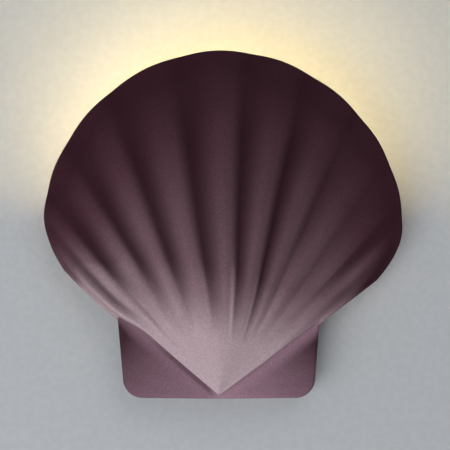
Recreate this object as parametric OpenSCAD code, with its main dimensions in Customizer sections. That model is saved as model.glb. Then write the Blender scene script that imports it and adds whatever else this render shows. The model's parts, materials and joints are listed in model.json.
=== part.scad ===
// Outdoor wall light with a cast scallop-shell front, lit from behind.
// Millimetres. +Z is up, the wall is the plane Y = 0 and the light stands out towards -Y.
// The origin is on the wall, midway between the two slots that take the wall screws.
// Places are given as [across, height above the base line, distance from the wall].

/* [Shell outline] */
// Half width of the fan, seen from the front
fan_half_width = 120.8; // [112:0.1:130]
// Height of the shell from its base line to the top of the fan
shell_height = 230; // [215:1:250]
// How far the fan's middle lies to the right of the shell's tip
fan_shift = 2.5; // [0:0.5:5]
// How much the fan's shoulders are flattened
shoulder_drop = 2.5; // [0:0.5:5]
// Angle of the crease on the left, from upright, in degrees
left_crease = 49.2; // [47:0.1:52]
// Angle of the crease on the right, from upright, in degrees
right_crease = 53.3; // [50:0.1:55]
// How much the fan's two lower corners are rounded off
corner_drop = 17; // [8:1:22]
// Half width of the ears at the base line
ear_half_width = 63; // [60:0.5:68]
// How much the ears widen for each millimetre of height
ear_flare = 0.08; // [0:0.01:0.12]
// Radius of the ears' lower corners
ear_corner_r = 13; // [6:0.5:16]

/* [Shell relief] */
// Thickness of the cast wall
shell_wall = 3.5; // [3:0.1:4.5]
// Distance of the tip from the wall behind
tip_height = 34; // [32:0.5:40]
// Distance of the fan's top edge from the wall
rim_top_height = 34; // [30:0.5:44]
// Distance of the fan's side edges from the wall
rim_side_height = 20; // [16:0.5:26]
// How far the dome rises above a straight line from tip to top edge
dome_rise = 36; // [33:0.5:44]
// The same rise along the two creases
crease_rise = 8; // [6:0.5:10]
// Power that sets how near the tip the dome is highest
dome_skew = 0.87; // [0.8:0.01:1]
// How far the ears fall back towards their outer edges
ear_fall = 9; // [6:0.5:10]
// How far the ears' upper corners fall back as well
ear_corner_fall = 3; // [0:0.5:4]
// Number of ribs on the fan
rib_count = 11; // [9:2:13]
// Depth of the grooves between the ribs
groove_depth = 4.2; // [1:0.1:4.5]
// How much shallower the outermost grooves are than the middle ones, as a share
outer_shallow = 0.55; // [0:0.05:0.7]
// How much wider the middle ribs are than an even share, on the left
left_spread = 1.46; // [1:0.01:1.5]
// How much wider the middle ribs are than an even share, on the right
right_spread = 1.13; // [1:0.01:1.5]
// How far the grooves right of the middle lean over near the tip, in ribs
rib_lean = 1.4; // [0:0.05:1.6]
// How far the ribs stand out beyond the grooves along the rim
rim_wave = 0.6; // [0:0.1:2]
// Rounding of the shell's front edges
edge_round = 2.5; // [1.5:0.1:3]
// Height of the plain band behind the rounded edge
edge_band = 2; // [1:0.1:4]
// Gap between the skirt round the ears and the wall
skirt_gap = 1.5; // [1:0.1:3]

/* [Back box] */
// Height of the wall screws above the base line
fixing_height = 60; // [56:0.5:62]
// Half width of the back box
box_half_width = 46; // [45:0.5:47]
// Height of the box's underside above the base line
box_bottom = 8; // [7:0.5:9]
// Height of the box's top above the base line
box_top = 104; // [102:0.5:112]
// Depth of the box from the wall to its open front
box_depth = 17; // [16.5:0.1:17.5]
// Thickness of the box's walls
box_wall = 3; // [2.5:0.1:3.5]
// Corner radius of the box
box_corner_r = 8; // [6:0.5:10]
// Spacing of the two wall screws
wall_screw_spacing = 60; // [54:0.5:64]
// Diameter of the wall screws' slots
wall_slot_d = 4.8; // [4.2:0.1:6]
// Length of the slots, end to end
wall_slot_length = 12; // [10:0.5:14]
// Depth of the groove that holds the wall gasket
gasket_groove = 1.5; // [1:0.1:1.8]
// Width of the wall gasket
wall_gasket_w = 4; // [3:0.1:5]
// Distance from the box's edge to the wall gasket
wall_gasket_inset = 2.5; // [2:0.1:4]

/* [Cable entry] */
// Height of the cable entry above the base line
entry_height = 27; // [26:0.5:29]
// Diameter of the hole in the box for the grommet
entry_hole_d = 13; // [11:0.1:15]
// Diameter of the cable hole through the grommet
cable_d = 8; // [6:0.1:9]
// Diameter of the grommet's flanges
grommet_flange_d = 18; // [16:0.1:20]

/* [Lid and lamp head] */
// Thickness of the lid gasket
lid_gasket_t = 1; // [0.8:0.1:1.5]
// Thickness of the lid
lid_t = 3; // [2.5:0.1:3.2]
// Half width of the lamp head
head_half_width = 36; // [34:0.5:36]
// Height of the lamp head's underside above the base line
head_bottom = 76; // [74:0.5:78]
// Depth of the lamp head in front of the lid
head_depth = 22; // [21:0.5:23]
// Half width of the light pocket
pocket_half_width = 26; // [25:0.5:27]
// Width of the light pocket from back to front
pocket_depth = 13; // [11:0.5:13.5]
// Depth of the light pocket below the lens gasket
pocket_sink = 18; // [16:0.5:18]
// Width of the ledge that carries the lens
lens_ledge = 2; // [1.5:0.1:2.2]
// Thickness of the lens
lens_t = 3; // [2:0.1:4]
// Thickness of the lens gasket
lens_gasket_t = 1; // [0.8:0.1:1.5]
// Thickness of the frame that holds the lens
lens_frame_t = 2; // [1.5:0.1:2.5]
// Number of cooling fins under the lamp head
fin_count = 7; // [5:1:9]
// Thickness of a cooling fin
fin_t = 2; // [1.5:0.1:2.5]
// Height of the cooling fins
fin_height = 8; // [5:0.5:9]

/* [Light source] */
// Thickness of the light source's board
board_t = 1.6; // [1:0.1:2]
// Thickness of the heat pad under the board
heat_pad_t = 0.5; // [0.3:0.1:1]
// Number of light-emitting chips
chip_count = 8; // [2:1:8]
// Distance from one chip to the next
chip_pitch = 5; // [4:0.1:5]
// Side of a chip
chip_side = 3; // [2.5:0.1:3.5]
// Height of a chip
chip_t = 0.8; // [0.5:0.1:1.2]

/* [Power supply] */
// Length of the power supply's case
driver_length = 58; // [50:0.5:60]
// Width of the power supply's case
driver_width = 22; // [18:0.5:23]
// Height of the power supply's case
driver_t = 11; // [9:0.5:12]
// Height of the power supply's middle above the base line
driver_height = 80; // [79:0.5:81]
// Length of each fixing tab
driver_tab = 8; // [7:0.5:8.5]
// Thickness of the fixing tabs
driver_tab_t = 2; // [1.5:0.1:3]

/* [Terminals] */
// Number of poles on the terminal block
pole_count = 3; // [2:1:3]
// Width of one pole
pole_pitch = 10; // [9:0.5:11]
// Length of the terminal block from entry to exit
terminal_length = 16; // [14:0.5:18]
// Height of the terminal block
terminal_t = 11; // [9:0.5:12]
// Height of the terminal block's middle above the base line
terminal_height = 48; // [47:0.5:49]
// Diameter of the insulated leads
lead_d = 1.8; // [1.5:0.1:2.2]

/* [Fixings] */
// Diameter of the lid screws
lid_screw_d = 4; // [3:0.1:4]
// Distance of the lid screws from the box's edge
lid_screw_inset = 6; // [5.5:0.1:6.5]
// Diameter of the two screws that hold the shell from below
shell_screw_d = 5; // [4:0.1:5]
// Distance of the shell screws from the middle
shell_screw_x = 26; // [24:0.5:28]
// Distance of the shell screws from the wall
shell_screw_depth = 10; // [9:0.1:11]
// Diameter of the box's bosses for the shell screws
shell_boss_d = 9; // [8:0.1:10]
// Diameter of the weep holes in the shell's underside
weep_hole_d = 4; // [3:0.1:5]
// Distance of the weep holes from the middle
weep_hole_x = 42; // [38:0.5:46]
// Diameter of the small machine screws
small_screw_d = 3; // [2.5:0.1:3]
// Distance of the shell's pillars from the middle
pillar_x = 22; // [20:0.5:24]
// Height of the shell's pillars above the base line
pillar_height = 48; // [46:0.5:50]
// Diameter of the shell's pillars
pillar_d = 10; // [9:0.1:12]
// Thickness of the hanger bar
hanger_t = 2; // [1.5:0.1:2.5]
// Gap between the hanger bar and the lid
hanger_gap = 3; // [2.8:0.1:3.2]
// Clearance of a screw in its hole, on the diameter
hole_play = 0.5; // [0.3:0.1:0.8]
// Clearance of a screw in its thread, on the diameter
thread_play = 0.1; // [0.05:0.01:0.2]
// Clearance round pieces that drop into a recess
recess_play = 0.2; // [0.1:0.05:0.4]

/* [Smoothness] */
// Number of flats between one groove and the next
rays_per_rib = 6; // [4:2:8]
// Number of steps from the tip to the rim
fan_rings = 20; // [20:20:20]

/* [Hidden] */
$fn = 48;

base_z = -fixing_height;
joint = 0.01;
half_fan = shell_height / 2;
corner_span = 8;
groove_start = 0.15;
groove_full = 0.42;

lid_back = box_depth + lid_gasket_t;
lid_front = lid_back + lid_t;
head_front = lid_front + head_depth;
head_middle = lid_front + head_depth / 2;
hanger_back = lid_front + hanger_gap;
hanger_front = hanger_back + hanger_t;
hanger_reach = 8;
hanger_drop = 9;
hanger_half = pillar_x + 8;
hanger_screw_x = 8;
hanger_boss_d = 9;
stud_d = 4;
stud_head_d = 9;
stud_head_t = 2;
stud_reach = 11;
shell_head_sink = 2.3;
lid_head_sink = 1.7;
thread_gap = 0.5;

lid_post_d = 8;
lid_thread = 9;
shell_boss_top = box_bottom + 11;
small_head_d = 5.5;
small_head_t = 2;
small_socket = 2;
large_head_d = 7;
large_head_t = 2.4;
large_socket = 3;
boss_stand = 3;

terminal_seat = box_wall + boss_stand;
terminal_boss_d = 7;
terminal_tab_t = 2;
terminal_tab_x = pole_count * pole_pitch / 2 + terminal_boss_d / 2;
terminal_screw_d = 3.2;
terminal_screw_sink = 1;
terminal_slot_w = 0.8;
terminal_screw_inset = 3.5;
terminal_screw_y = terminal_length / 2 - terminal_screw_inset;
wire_depth = box_wall + 5;
wire_hole_d = lead_d + 1.6;
wire_sink = 4;
terminal_screw_foot = wire_depth + lead_d / 2;

earth_x = 33;
earth_height = 36;
earth_seat = box_wall + boss_stand;
earth_boss_d = 8;
earth_washer_t = 0.8;
ring_terminal_t = 0.8;
barrel_d = 2.6;
barrel_length = 4;

driver_seat = box_wall + boss_stand;
driver_boss_d = 7;
driver_screw_x = driver_length / 2 + driver_tab / 2;
driver_lead_x = -2.5;
driver_lead_depth = box_wall + driver_t / 2;

grommet_lip_d = entry_hole_d + 3;
grommet_lip_t = 1;
grommet_flange_t = 2;
grommet_sleeve = 2;
grommet_reach = 8;

vent_d = 8;
vent_flange_d = 10;
vent_flange_t = 1.5;
vent_depth = 10;
vent_reach = 6;
vent_pinhole_d = 2;

head_corner_r = 4;
window_corner_r = 3;
lens_seat = box_top - lens_t - lens_gasket_t;
lens_screw_inset = 4;
lens_screw_x = head_half_width - lens_screw_inset;
lens_screw_row = 6.5;
lens_screw_reach = 8;
pocket_floor = lens_seat - pocket_sink;
board_screw_inset = 4;
board_screw_x = pocket_half_width - board_screw_inset;
board_screw_reach = 5;
board_top = pocket_floor + heat_pad_t + board_t;
output_lead_x = 2;
lead_pad_depth = head_middle - 3;
wire_pass_height = lens_seat - 4.5;
wire_pass_d = 7;
fin_margin = 6;
fin_span = 2 * (head_half_width - fin_margin);
fin_setback = 4;

function smooth(from, to, x) =
    let (t = min(1, max(0, (x - from) / (to - from)))) t * t * (3 - 2 * t);
function mix(a, b, t) = a + (b - a) * t;
function crease(side) = side < 0 ? left_crease : right_crease;
function spread(side) = side < 0 ? left_spread : right_spread;

// Angle of the line that lies s ribs from the middle rib
function fan_angle(s) =
    let (t = 2 * s / rib_count)
    crease(s) * t * (spread(s) - (spread(s) - 1) * t * t);

// Distance from the tip to the fan's outline at an angle from upright
function outline_radius(angle) =
    let (
        across = sin(angle),
        up = cos(angle),
        a = pow(across / fan_half_width, 2) + pow(up / half_fan, 2),
        b = across * fan_shift / pow(fan_half_width, 2) + up / half_fan,
        c = pow(fan_shift / fan_half_width, 2),
        corner = max(0, 1 - (crease(angle) - abs(angle)) / corner_span)
    )
    (b + sqrt(b * b - a * c)) / a
    - shoulder_drop * pow(sin(3.2 * angle), 2)
    - corner_drop * pow(corner, 3.3);

// Height of a rib's cross-section, 1 on the ridge and 0 in the groove
function ridge(s) = pow(abs(cos(180 * s)), 1.4);

// How far a rib belongs to the narrow ones beside the creases; the right side's narrow ribs begin nearer the middle
function narrow(s) = smooth(s > 0 ? 1.5 : 3, 5, abs(s));

// Depth of the fan below its ridges, s ribs from the middle and u of the way to the rim
function relief(s, u) =
    groove_depth * (1 - ridge(s)) * (1 - outer_shallow * narrow(s))
    * smooth(groove_start, groove_full, u - 0.15 * narrow(s)) * (1 - 0.5 * smooth(0.7, 1, u));

// Distance of the dome from the wall, u of the way from tip to rim
function dome(u, angle) =
    let (
        off = angle / crease(angle),
        rim = mix(rim_top_height, rim_side_height, off * off),
        rise = mix(crease_rise, dome_rise, pow(cos(80 * off), 2))
    )
    mix(tip_height, rim, u) + rise * sin(180 * pow(u, dome_skew));

// Distance of the ears from the wall
function ear_surface(x, v) =
    let (out = abs(x) / ear_half_width)
    tip_height - ear_fall * out - ear_corner_fall * out * pow(v / ear_half_width, 2);

// How far a line leans over near the tip, in ribs
function lean(s, u) = rib_lean * pow(1 - u, 3) * smooth(-1.5, 0.5, s) * (1 - smooth(1, 5, s));

fan_rays = rib_count * rays_per_rib;
ear_rings = round(0.65 * fan_rings);
ear_rays = 12;
crease_draft = 0.8;

function rib_place(i) = -rib_count / 2 + i / rays_per_rib;
function front_radius(s) =
    outline_radius(fan_angle(s)) - edge_round * (1 + cos(fan_angle(s)))
    - rim_wave * (1 - ridge(s)) * (1 - smooth(rib_count / 2 - 1, rib_count / 2, abs(s)));

function fan_point(i, j) =
    let (
        s = rib_place(i),
        u = j / fan_rings,
        angle = fan_angle(s + lean(s, u)),
        r = u * front_radius(s)
    )
    [r * sin(angle), edge_round + r * cos(angle), dome(u, angle) - relief(s, u)];

// Outline of one ear, from the crease (0) round to the base line (ear_rays)
function ear_edge(side, i) =
    let (
        half = ear_half_width - edge_round,
        r = ear_corner_r - edge_round,
        steep = crease(side) + crease_draft,
        top = half / (tan(steep) - ear_flare),
        sides = ear_rays / 2,
        turn = 90 * (i - sides) / sides,
        v = mix(top, r, i / sides)
    )
    i < sides
        ? [half + ear_flare * v, v]
        : [half + ear_flare * r - r + r * cos(turn), r - r * sin(turn)];

function ear_point(side, i, j) =
    let (
        e = ear_edge(side, i) * j / ear_rings,
        x = side * e[0]
    )
    [x, edge_round + e[1], ear_surface(x, e[1])];

// The front's edge, clockwise from the tip: ear, fan, ear
edge_front = concat(
    [[0, edge_round, tip_height]],
    [for (j = [1 : ear_rings]) ear_point(-1, ear_rays, j)],
    [for (i = [ear_rays - 1 : -1 : 0]) ear_point(-1, i, ear_rings)],
    [for (j = [ear_rings : fan_rings]) fan_point(0, j)],
    [for (i = [1 : fan_rays]) fan_point(i, fan_rings)],
    [for (j = [fan_rings - 1 : -1 : ear_rings]) fan_point(fan_rays, j)],
    [for (i = [0 : ear_rays]) ear_point(1, i, ear_rings)],
    [for (j = [ear_rings - 1 : -1 : 1]) ear_point(1, ear_rays, j)]
);
edge_count = len(edge_front);
first_fan = 1 + ear_rings + ear_rays;
last_fan = edge_count - 2 * ear_rings - ear_rays + ear_rings - 1;

function outward(k) =
    let (
        before = edge_front[(k + edge_count - 1) % edge_count],
        after = edge_front[(k + 1) % edge_count],
        d = [after[0] - before[0], after[1] - before[1]]
    )
    [-d[1], d[0], 0] / norm(d);
function on_fan(k) = k >= first_fan && k <= last_fan;
function back_edge(k) = on_fan(k) ? edge_front[k][2] - edge_round - edge_band : skirt_gap;
function edge_ring(out, sink) = [
    for (k = [0 : edge_count - 1]) edge_front[k] + outward(k) * out - [0, 0, sink]
];
function back_ring(out) = [
    for (k = [0 : edge_count - 1])
        let (p = edge_front[k] + outward(k) * out) [p[0], p[1], back_edge(k)]
];

function shell_height(x, v) =
    let (
        angle = atan2(x, v - edge_round),
        u = norm([x, v - edge_round]) / (outline_radius(angle) - edge_round * (1 + cos(angle)))
    )
    dome(u, angle);

module shell_cover() {
    color("#6b4a57")
    difference() {
        union() {
            shell_casting();
            for (side = [-1, 1]) shell_pillar(side * pillar_x, pillar_height);
        }
        for (side = [-1, 1]) {
            rod(side * pillar_x, pillar_height, hanger_front - 1, hanger_front + stud_reach + 1, small_screw_d + thread_play);
            post(side * shell_screw_x, shell_screw_depth, -1, shell_wall + 1, shell_screw_d + hole_play);
            translate([side * shell_screw_x, -shell_screw_depth, base_z])
                rotate([180, 0, 0])
                    head_cone(shell_screw_d + hole_play, shell_head_sink);
            post(side * weep_hole_x, shell_screw_depth, -1, shell_wall + 1, weep_hole_d);
        }
    }
}

// A pillar inside the shell, cut off along the slope of the wall it grows from
module shell_pillar(x, v) {
    top = shell_height(x, v) - shell_wall / 2;
    slope = [shell_height(x + 1, v) - shell_height(x - 1, v), shell_height(x, v + 1) - shell_height(x, v - 1)] / 2;
    ahead = [0, -1, 0];
    facing = [-slope[0], -1, -slope[1]] / norm([slope[0], 1, slope[1]]);
    intersection() {
        rod(x, v, hanger_front, top + pillar_d, pillar_d);
        translate([x, -top, base_z + v])
            rotate(acos(ahead * facing), cross(ahead, facing))
                translate([-pillar_d, 0, -pillar_d])
                    cube([2 * pillar_d, shell_height(x, v), 2 * pillar_d]);
    }
}

module shell_casting() {
    inset = edge_round - shell_wall;
    tip_shift = [0, -inset, 0];
    left_start = 1;
    fan_start = left_start + (ear_rays + 1) * ear_rings;
    right_start = fan_start + (fan_rays + 1) * fan_rings;
    face_count = right_start + (ear_rays + 1) * ear_rings;
    ring_start = 2 * face_count;

    front = concat(
        [[0, edge_round, tip_height]],
        [for (i = [0 : ear_rays]) for (j = [1 : ear_rings]) ear_point(-1, i, j)],
        [for (i = [0 : fan_rays]) for (j = [1 : fan_rings]) fan_point(i, j)],
        [for (i = [0 : ear_rays]) for (j = [1 : ear_rings]) ear_point(1, i, j)]
    );
    function left_shift(i, j) =
        mix(tip_shift, outward(1 + ear_rings + ear_rays - 1 - i) * inset, j / ear_rings);
    function fan_shift_in(i, j) =
        mix(tip_shift, outward(first_fan + fan_rings - ear_rings + i) * inset, j / fan_rings);
    function right_shift(i, j) =
        mix(tip_shift, outward(last_fan + 1 + i) * inset, j / ear_rings);
    function blend_in(i, j) =
        (1 - min(1, min(i, fan_rays - i) / 3)) * (1 - smooth(ear_rings - 1, ear_rings + 3, j));
    function inner_fan(i, j) =
        let (p = fan_point(i, j) , low = ear_surface(p[0], p[1] - edge_round))
        [p[0], p[1], mix(p[2], min(low, p[2]), blend_in(i, j)) - shell_wall] + fan_shift_in(i, j);
    back = concat(
        [[0, edge_round, tip_height - shell_wall] + tip_shift],
        [for (i = [0 : ear_rays]) for (j = [1 : ear_rings])
            ear_point(-1, i, j) + left_shift(i, j) - [0, 0, shell_wall]],
        [for (i = [0 : fan_rays]) for (j = [1 : fan_rings]) inner_fan(i, j)],
        [for (i = [0 : ear_rays]) for (j = [1 : ear_rings])
            ear_point(1, i, j) + right_shift(i, j) - [0, 0, shell_wall]]
    );

    function left(i, j) = j == 0 ? 0 : left_start + i * ear_rings + j - 1;
    function fan(i, j) = j == 0 ? 0 : fan_start + i * fan_rings + j - 1;
    function right(i, j) = j == 0 ? 0 : right_start + i * ear_rings + j - 1;
    function patch(a, b, c, d) = a == d ? [[a, b, c]] : [[a, b, c], [a, c, d]];
    function flip(faces) = [for (f = faces) [f[0] + face_count, f[2] + face_count, f[1] + face_count]];

    sheet = [
        for (j = [0 : ear_rings - 1]) each concat(
            [for (i = [0 : ear_rays - 1]) each patch(left(i + 1, j), left(i + 1, j + 1), left(i, j + 1), left(i, j))],
            [for (i = [0 : ear_rays - 1]) each patch(right(i, j), right(i, j + 1), right(i + 1, j + 1), right(i + 1, j))],
            patch(left(0, j), left(0, j + 1), fan(0, j + 1), fan(0, j)),
            patch(fan(fan_rays, j), fan(fan_rays, j + 1), right(0, j + 1), right(0, j))
        ),
        for (j = [0 : fan_rings - 1])
            for (i = [0 : fan_rays - 1]) each patch(fan(i, j), fan(i, j + 1), fan(i + 1, j + 1), fan(i + 1, j))
    ];
    rim = concat(
        [0],
        [for (j = [1 : ear_rings]) left(ear_rays, j)],
        [for (i = [ear_rays - 1 : -1 : 0]) left(i, ear_rings)],
        [for (j = [ear_rings : fan_rings]) fan(0, j)],
        [for (i = [1 : fan_rays]) fan(i, fan_rings)],
        [for (j = [fan_rings - 1 : -1 : ear_rings]) fan(fan_rays, j)],
        [for (i = [0 : ear_rays]) right(i, ear_rings)],
        [for (j = [ear_rings - 1 : -1 : 1]) right(ear_rays, j)]
    );
    loops = concat(
        [rim],
        [for (n = [0 : 3]) [for (k = [0 : edge_count - 1]) ring_start + n * edge_count + k]],
        [[for (k = rim) k + face_count]]
    );
    bands = [
        for (n = [0 : 4]) for (k = [0 : edge_count - 1])
            let (m = (k + 1) % edge_count)
            each [[loops[n][k], loops[n + 1][k], loops[n + 1][m]], [loops[n][k], loops[n + 1][m], loops[n][m]]]
    ];
    points = concat(
        front,
        back,
        edge_ring(edge_round * sin(45), edge_round * (1 - cos(45))),
        edge_ring(edge_round, edge_round),
        back_ring(edge_round),
        back_ring(edge_round - shell_wall)
    );
    polyhedron([for (p = points) [p[0], -p[2], base_z + p[1]]], concat(sheet, flip(sheet), bands), convexity = 6);
}

// A flat piece parallel to the wall, drawn as [across, height above the base line]
module slab(near, far) {
    translate([0, -near, base_z])
        rotate([90, 0, 0])
            linear_extrude(far - near)
                children();
}

// An upright piece, drawn as [across, distance from the wall]
module upright(low, high) {
    translate([0, 0, base_z + low])
        linear_extrude(high - low)
            mirror([0, 1])
                children();
}

// A round piece that points away from the wall
module rod(x, v, near, far, d) {
    translate([x, -near, base_z + v])
        rotate([90, 0, 0])
            cylinder(d = d, h = far - near);
}

// A round piece that stands upright
module post(x, depth, low, high, d) {
    translate([x, -depth, base_z + low])
        cylinder(d = d, h = high - low);
}

// The cone of a flush screw head, pointing along -Z with its wide end on the origin
module head_cone(d, sink) {
    translate([0, 0, -sink]) cylinder(d1 = d, d2 = d + 2 * sink, h = sink);
}

module rounded(w, h, r) {
    square([w - 2 * r, h], center = true);
    square([w, h - 2 * r], center = true);
    for (x = [-1, 1], y = [-1, 1]) translate([x * (w / 2 - r), y * (h / 2 - r)]) circle(r);
}

module slot_shape(length, d) {
    square([length - d, d], center = true);
    for (side = [-1, 1]) translate([side * (length - d) / 2, 0]) circle(d = d);
}

module box_outline(inset) {
    translate([0, (box_bottom + box_top) / 2])
        rounded(2 * (box_half_width - inset), box_top - box_bottom - 2 * inset, box_corner_r - inset);
}

// A screw along -Z with its head's underside on the origin
module pan_screw(d, reach, head_d, head_h, socket) {
    difference() {
        union() {
            translate([0, 0, -reach]) cylinder(d = d, h = reach + joint);
            cylinder(d = head_d, h = head_h);
        }
        translate([0, 0, head_h / 2]) cylinder(d = socket, h = head_h, $fn = 6);
    }
}

// A screw along -Z with its flush head's top on the origin
module flush_screw(d, reach, sink, socket) {
    difference() {
        union() {
            translate([0, 0, -reach]) cylinder(d = d, h = reach);
            head_cone(d, sink);
        }
        translate([0, 0, -sink]) cylinder(d = socket, h = 2 * sink, $fn = 6);
    }
}

// Turns a piece that points along -Z so that it points at the wall, from a distance off it
module at_wall(x, v, seat) {
    translate([x, -seat, base_z + v])
        rotate([90, 0, 0])
            children();
}

// A small screw in a boss inside the box, through a tab on it
module tab_screw(x, v, tab_seat, tab_t) {
    at_wall(x, v, tab_seat + tab_t)
        pan_screw(small_screw_d, tab_t + tab_seat - box_wall - thread_gap, small_head_d, small_head_t, small_socket);
}

lid_screw_x = box_half_width - lid_screw_inset;
lid_screw_rows = [box_bottom + lid_screw_inset, box_top - lid_screw_inset];
module lid_screw_places() {
    for (side = [-1, 1], v = lid_screw_rows) translate([side * lid_screw_x, v]) children();
}

function bezier(p, t) =
    pow(1 - t, 3) * p[0] + 3 * pow(1 - t, 2) * t * p[1] + 3 * (1 - t) * t * t * p[2] + pow(t, 3) * p[3];
function unit(v) = v / norm(v);

// An insulated lead along joined curves, each given by its two ends and two pulls
module lead(curves, d, side) {
    steps = 10;
    sides = 8;
    path = concat(
        [curves[0][0]],
        [for (c = curves) for (n = [1 : steps]) bezier(c, n / steps)]
    );
    last = len(path) - 1;
    ring = function (n)
        let (
            ahead = unit(path[min(n + 1, last)] - path[max(n - 1, 0)]),
            across = unit(cross(ahead, side)),
            over = cross(across, ahead)
        )
        [for (k = [0 : sides - 1]) path[n] + d / 2 * (across * cos(360 * k / sides) + over * sin(360 * k / sides))];
    points = [for (n = [0 : last]) each ring(n)];
    walls = [
        for (n = [0 : last - 1]) for (k = [0 : sides - 1])
            let (a = n * sides + k, b = n * sides + (k + 1) % sides)
            each [[a, b, b + sides], [a, b + sides, a + sides]]
    ];
    near_end = [for (k = [sides - 1 : -1 : 0]) k];
    far_end = [for (k = [0 : sides - 1]) last * sides + k];
    polyhedron(
        [for (p = points) [p[0], -p[2], base_z + p[1]]],
        concat(walls, [near_end, far_end]),
        convexity = 4
    );
}

module back_box() {
    color("#8f8f93")
    difference() {
        union() {
            difference() {
                slab(0, box_depth) box_outline(0);
                slab(box_wall, box_depth + 1) box_outline(box_wall);
            }
            slab(box_wall - joint, lid_back) lid_screw_places() circle(d = lid_post_d);
            for (side = [-1, 1]) {
                post(side * shell_screw_x, shell_screw_depth, shell_wall, shell_boss_top, shell_boss_d);
                rod(side * terminal_tab_x, terminal_height, box_wall - joint, terminal_seat, terminal_boss_d);
                rod(side * driver_screw_x, driver_height, box_wall - joint, driver_seat, driver_boss_d);
            }
            rod(-earth_x, earth_height, box_wall - joint, earth_seat, earth_boss_d);
        }
        for (side = [-1, 1]) {
            slab(-1, box_wall + 1)
                translate([side * wall_screw_spacing / 2, fixing_height])
                    slot_shape(wall_slot_length, wall_slot_d);
            post(side * shell_screw_x, shell_screw_depth, 0, shell_boss_top - 1.5, shell_screw_d + thread_play);
            rod(side * terminal_tab_x, terminal_height, box_wall, terminal_seat + 1, small_screw_d + thread_play);
            rod(side * driver_screw_x, driver_height, box_wall, driver_seat + 1, small_screw_d + thread_play);
        }
        rod(-earth_x, earth_height, box_wall, earth_seat + 1, lid_screw_d + thread_play);
        slab(-1, gasket_groove) wall_gasket_shape(0);
        slab(lid_back - lid_thread, lid_back + 1) lid_screw_places() circle(d = lid_screw_d + thread_play);
        rod(0, entry_height, -1, box_wall + 1, entry_hole_d);
        rod(0, entry_height, -1, grommet_lip_t, grommet_lip_d);
        post(0, vent_depth, box_bottom - 1, box_bottom + box_wall + 1, vent_d + thread_play);
    }
}

module wall_gasket_shape(play) {
    difference() {
        box_outline(wall_gasket_inset + play);
        box_outline(wall_gasket_inset + wall_gasket_w - play);
    }
}

module wall_gasket() {
    color("#2b2b2d")
    slab(0, gasket_groove) wall_gasket_shape(recess_play);
}

// A rubber sleeve that grips the box's wall between a sunk lip and a wide flange
module cable_grommet() {
    bore = cable_d / 2;
    hole = entry_hole_d / 2;
    lip = grommet_lip_d / 2 - recess_play;
    flange = grommet_flange_d / 2;
    color("#2b2b2d")
    translate([0, 0, base_z + entry_height])
        rotate([90, 0, 0])
            rotate_extrude()
                polygon([
                    [bore, 0], [lip, 0], [lip, grommet_lip_t], [hole, grommet_lip_t], [hole, box_wall],
                    [flange, box_wall], [flange, box_wall + grommet_flange_t],
                    [bore + grommet_sleeve, box_wall + grommet_flange_t],
                    [bore + grommet_sleeve / 2, box_wall + grommet_reach], [bore, box_wall + grommet_reach]
                ]);
}

module terminal_poles() {
    for (n = [0 : pole_count - 1]) translate([(n - (pole_count - 1) / 2) * pole_pitch, 0]) children();
}

module terminal_block() {
    half = pole_count * pole_pitch / 2;
    color("#e8e4d8")
    difference() {
        union() {
            slab(box_wall, box_wall + terminal_t)
                translate([-half, terminal_height - terminal_length / 2])
                    square([2 * half, terminal_length]);
            for (side = [-1, 1]) slab(terminal_seat, terminal_seat + terminal_tab_t) {
                translate([side * terminal_tab_x, terminal_height]) circle(d = terminal_boss_d);
                translate([side * (half + terminal_boss_d / 4), terminal_height])
                    square([terminal_boss_d / 2, terminal_boss_d], center = true);
            }
        }
        for (side = [-1, 1]) {
            rod(side * terminal_tab_x, terminal_height, terminal_seat - 1, terminal_seat + terminal_tab_t + 1, small_screw_d + hole_play);
            slab(terminal_screw_foot, box_wall + terminal_t + 1)
                terminal_poles()
                    translate([0, terminal_height + side * terminal_screw_y]) circle(d = terminal_screw_d + recess_play);
        }
        upright(terminal_height - terminal_length / 2 - 1, terminal_height - terminal_length / 2 + wire_sink)
            terminal_poles() translate([0, wire_depth]) circle(d = wire_hole_d);
        upright(terminal_height + terminal_length / 2 - wire_sink, terminal_height + terminal_length / 2 + 1)
            terminal_poles() translate([0, wire_depth]) circle(d = wire_hole_d);
    }
}

module terminal_screws() {
    color("#c9a24b")
    for (side = [-1, 1])
        difference() {
            slab(terminal_screw_foot, box_wall + terminal_t - terminal_screw_sink)
                terminal_poles()
                    translate([0, terminal_height + side * terminal_screw_y]) circle(d = terminal_screw_d);
            slab(box_wall + terminal_t - 2 * terminal_screw_sink, box_wall + terminal_t)
                terminal_poles()
                    translate([0, terminal_height + side * terminal_screw_y])
                        square([terminal_screw_d + 1, terminal_slot_w], center = true);
        }
}

module terminal_fixings() {
    color("#b9bbbd")
    for (side = [-1, 1]) tab_screw(side * terminal_tab_x, terminal_height, terminal_seat, terminal_tab_t);
}

module earth_screw() {
    color("#c9a24b")
    at_wall(-earth_x, earth_height, earth_seat + earth_washer_t + ring_terminal_t)
        pan_screw(lid_screw_d, earth_washer_t + ring_terminal_t + earth_seat - box_wall - thread_gap,
            large_head_d, large_head_t, large_socket);
}

module earth_washer() {
    color("#b9bbbd")
    slab(earth_seat, earth_seat + earth_washer_t)
        translate([-earth_x, earth_height])
            difference() {
                circle(d = earth_boss_d);
                circle(d = lid_screw_d + hole_play);
            }
}

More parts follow.
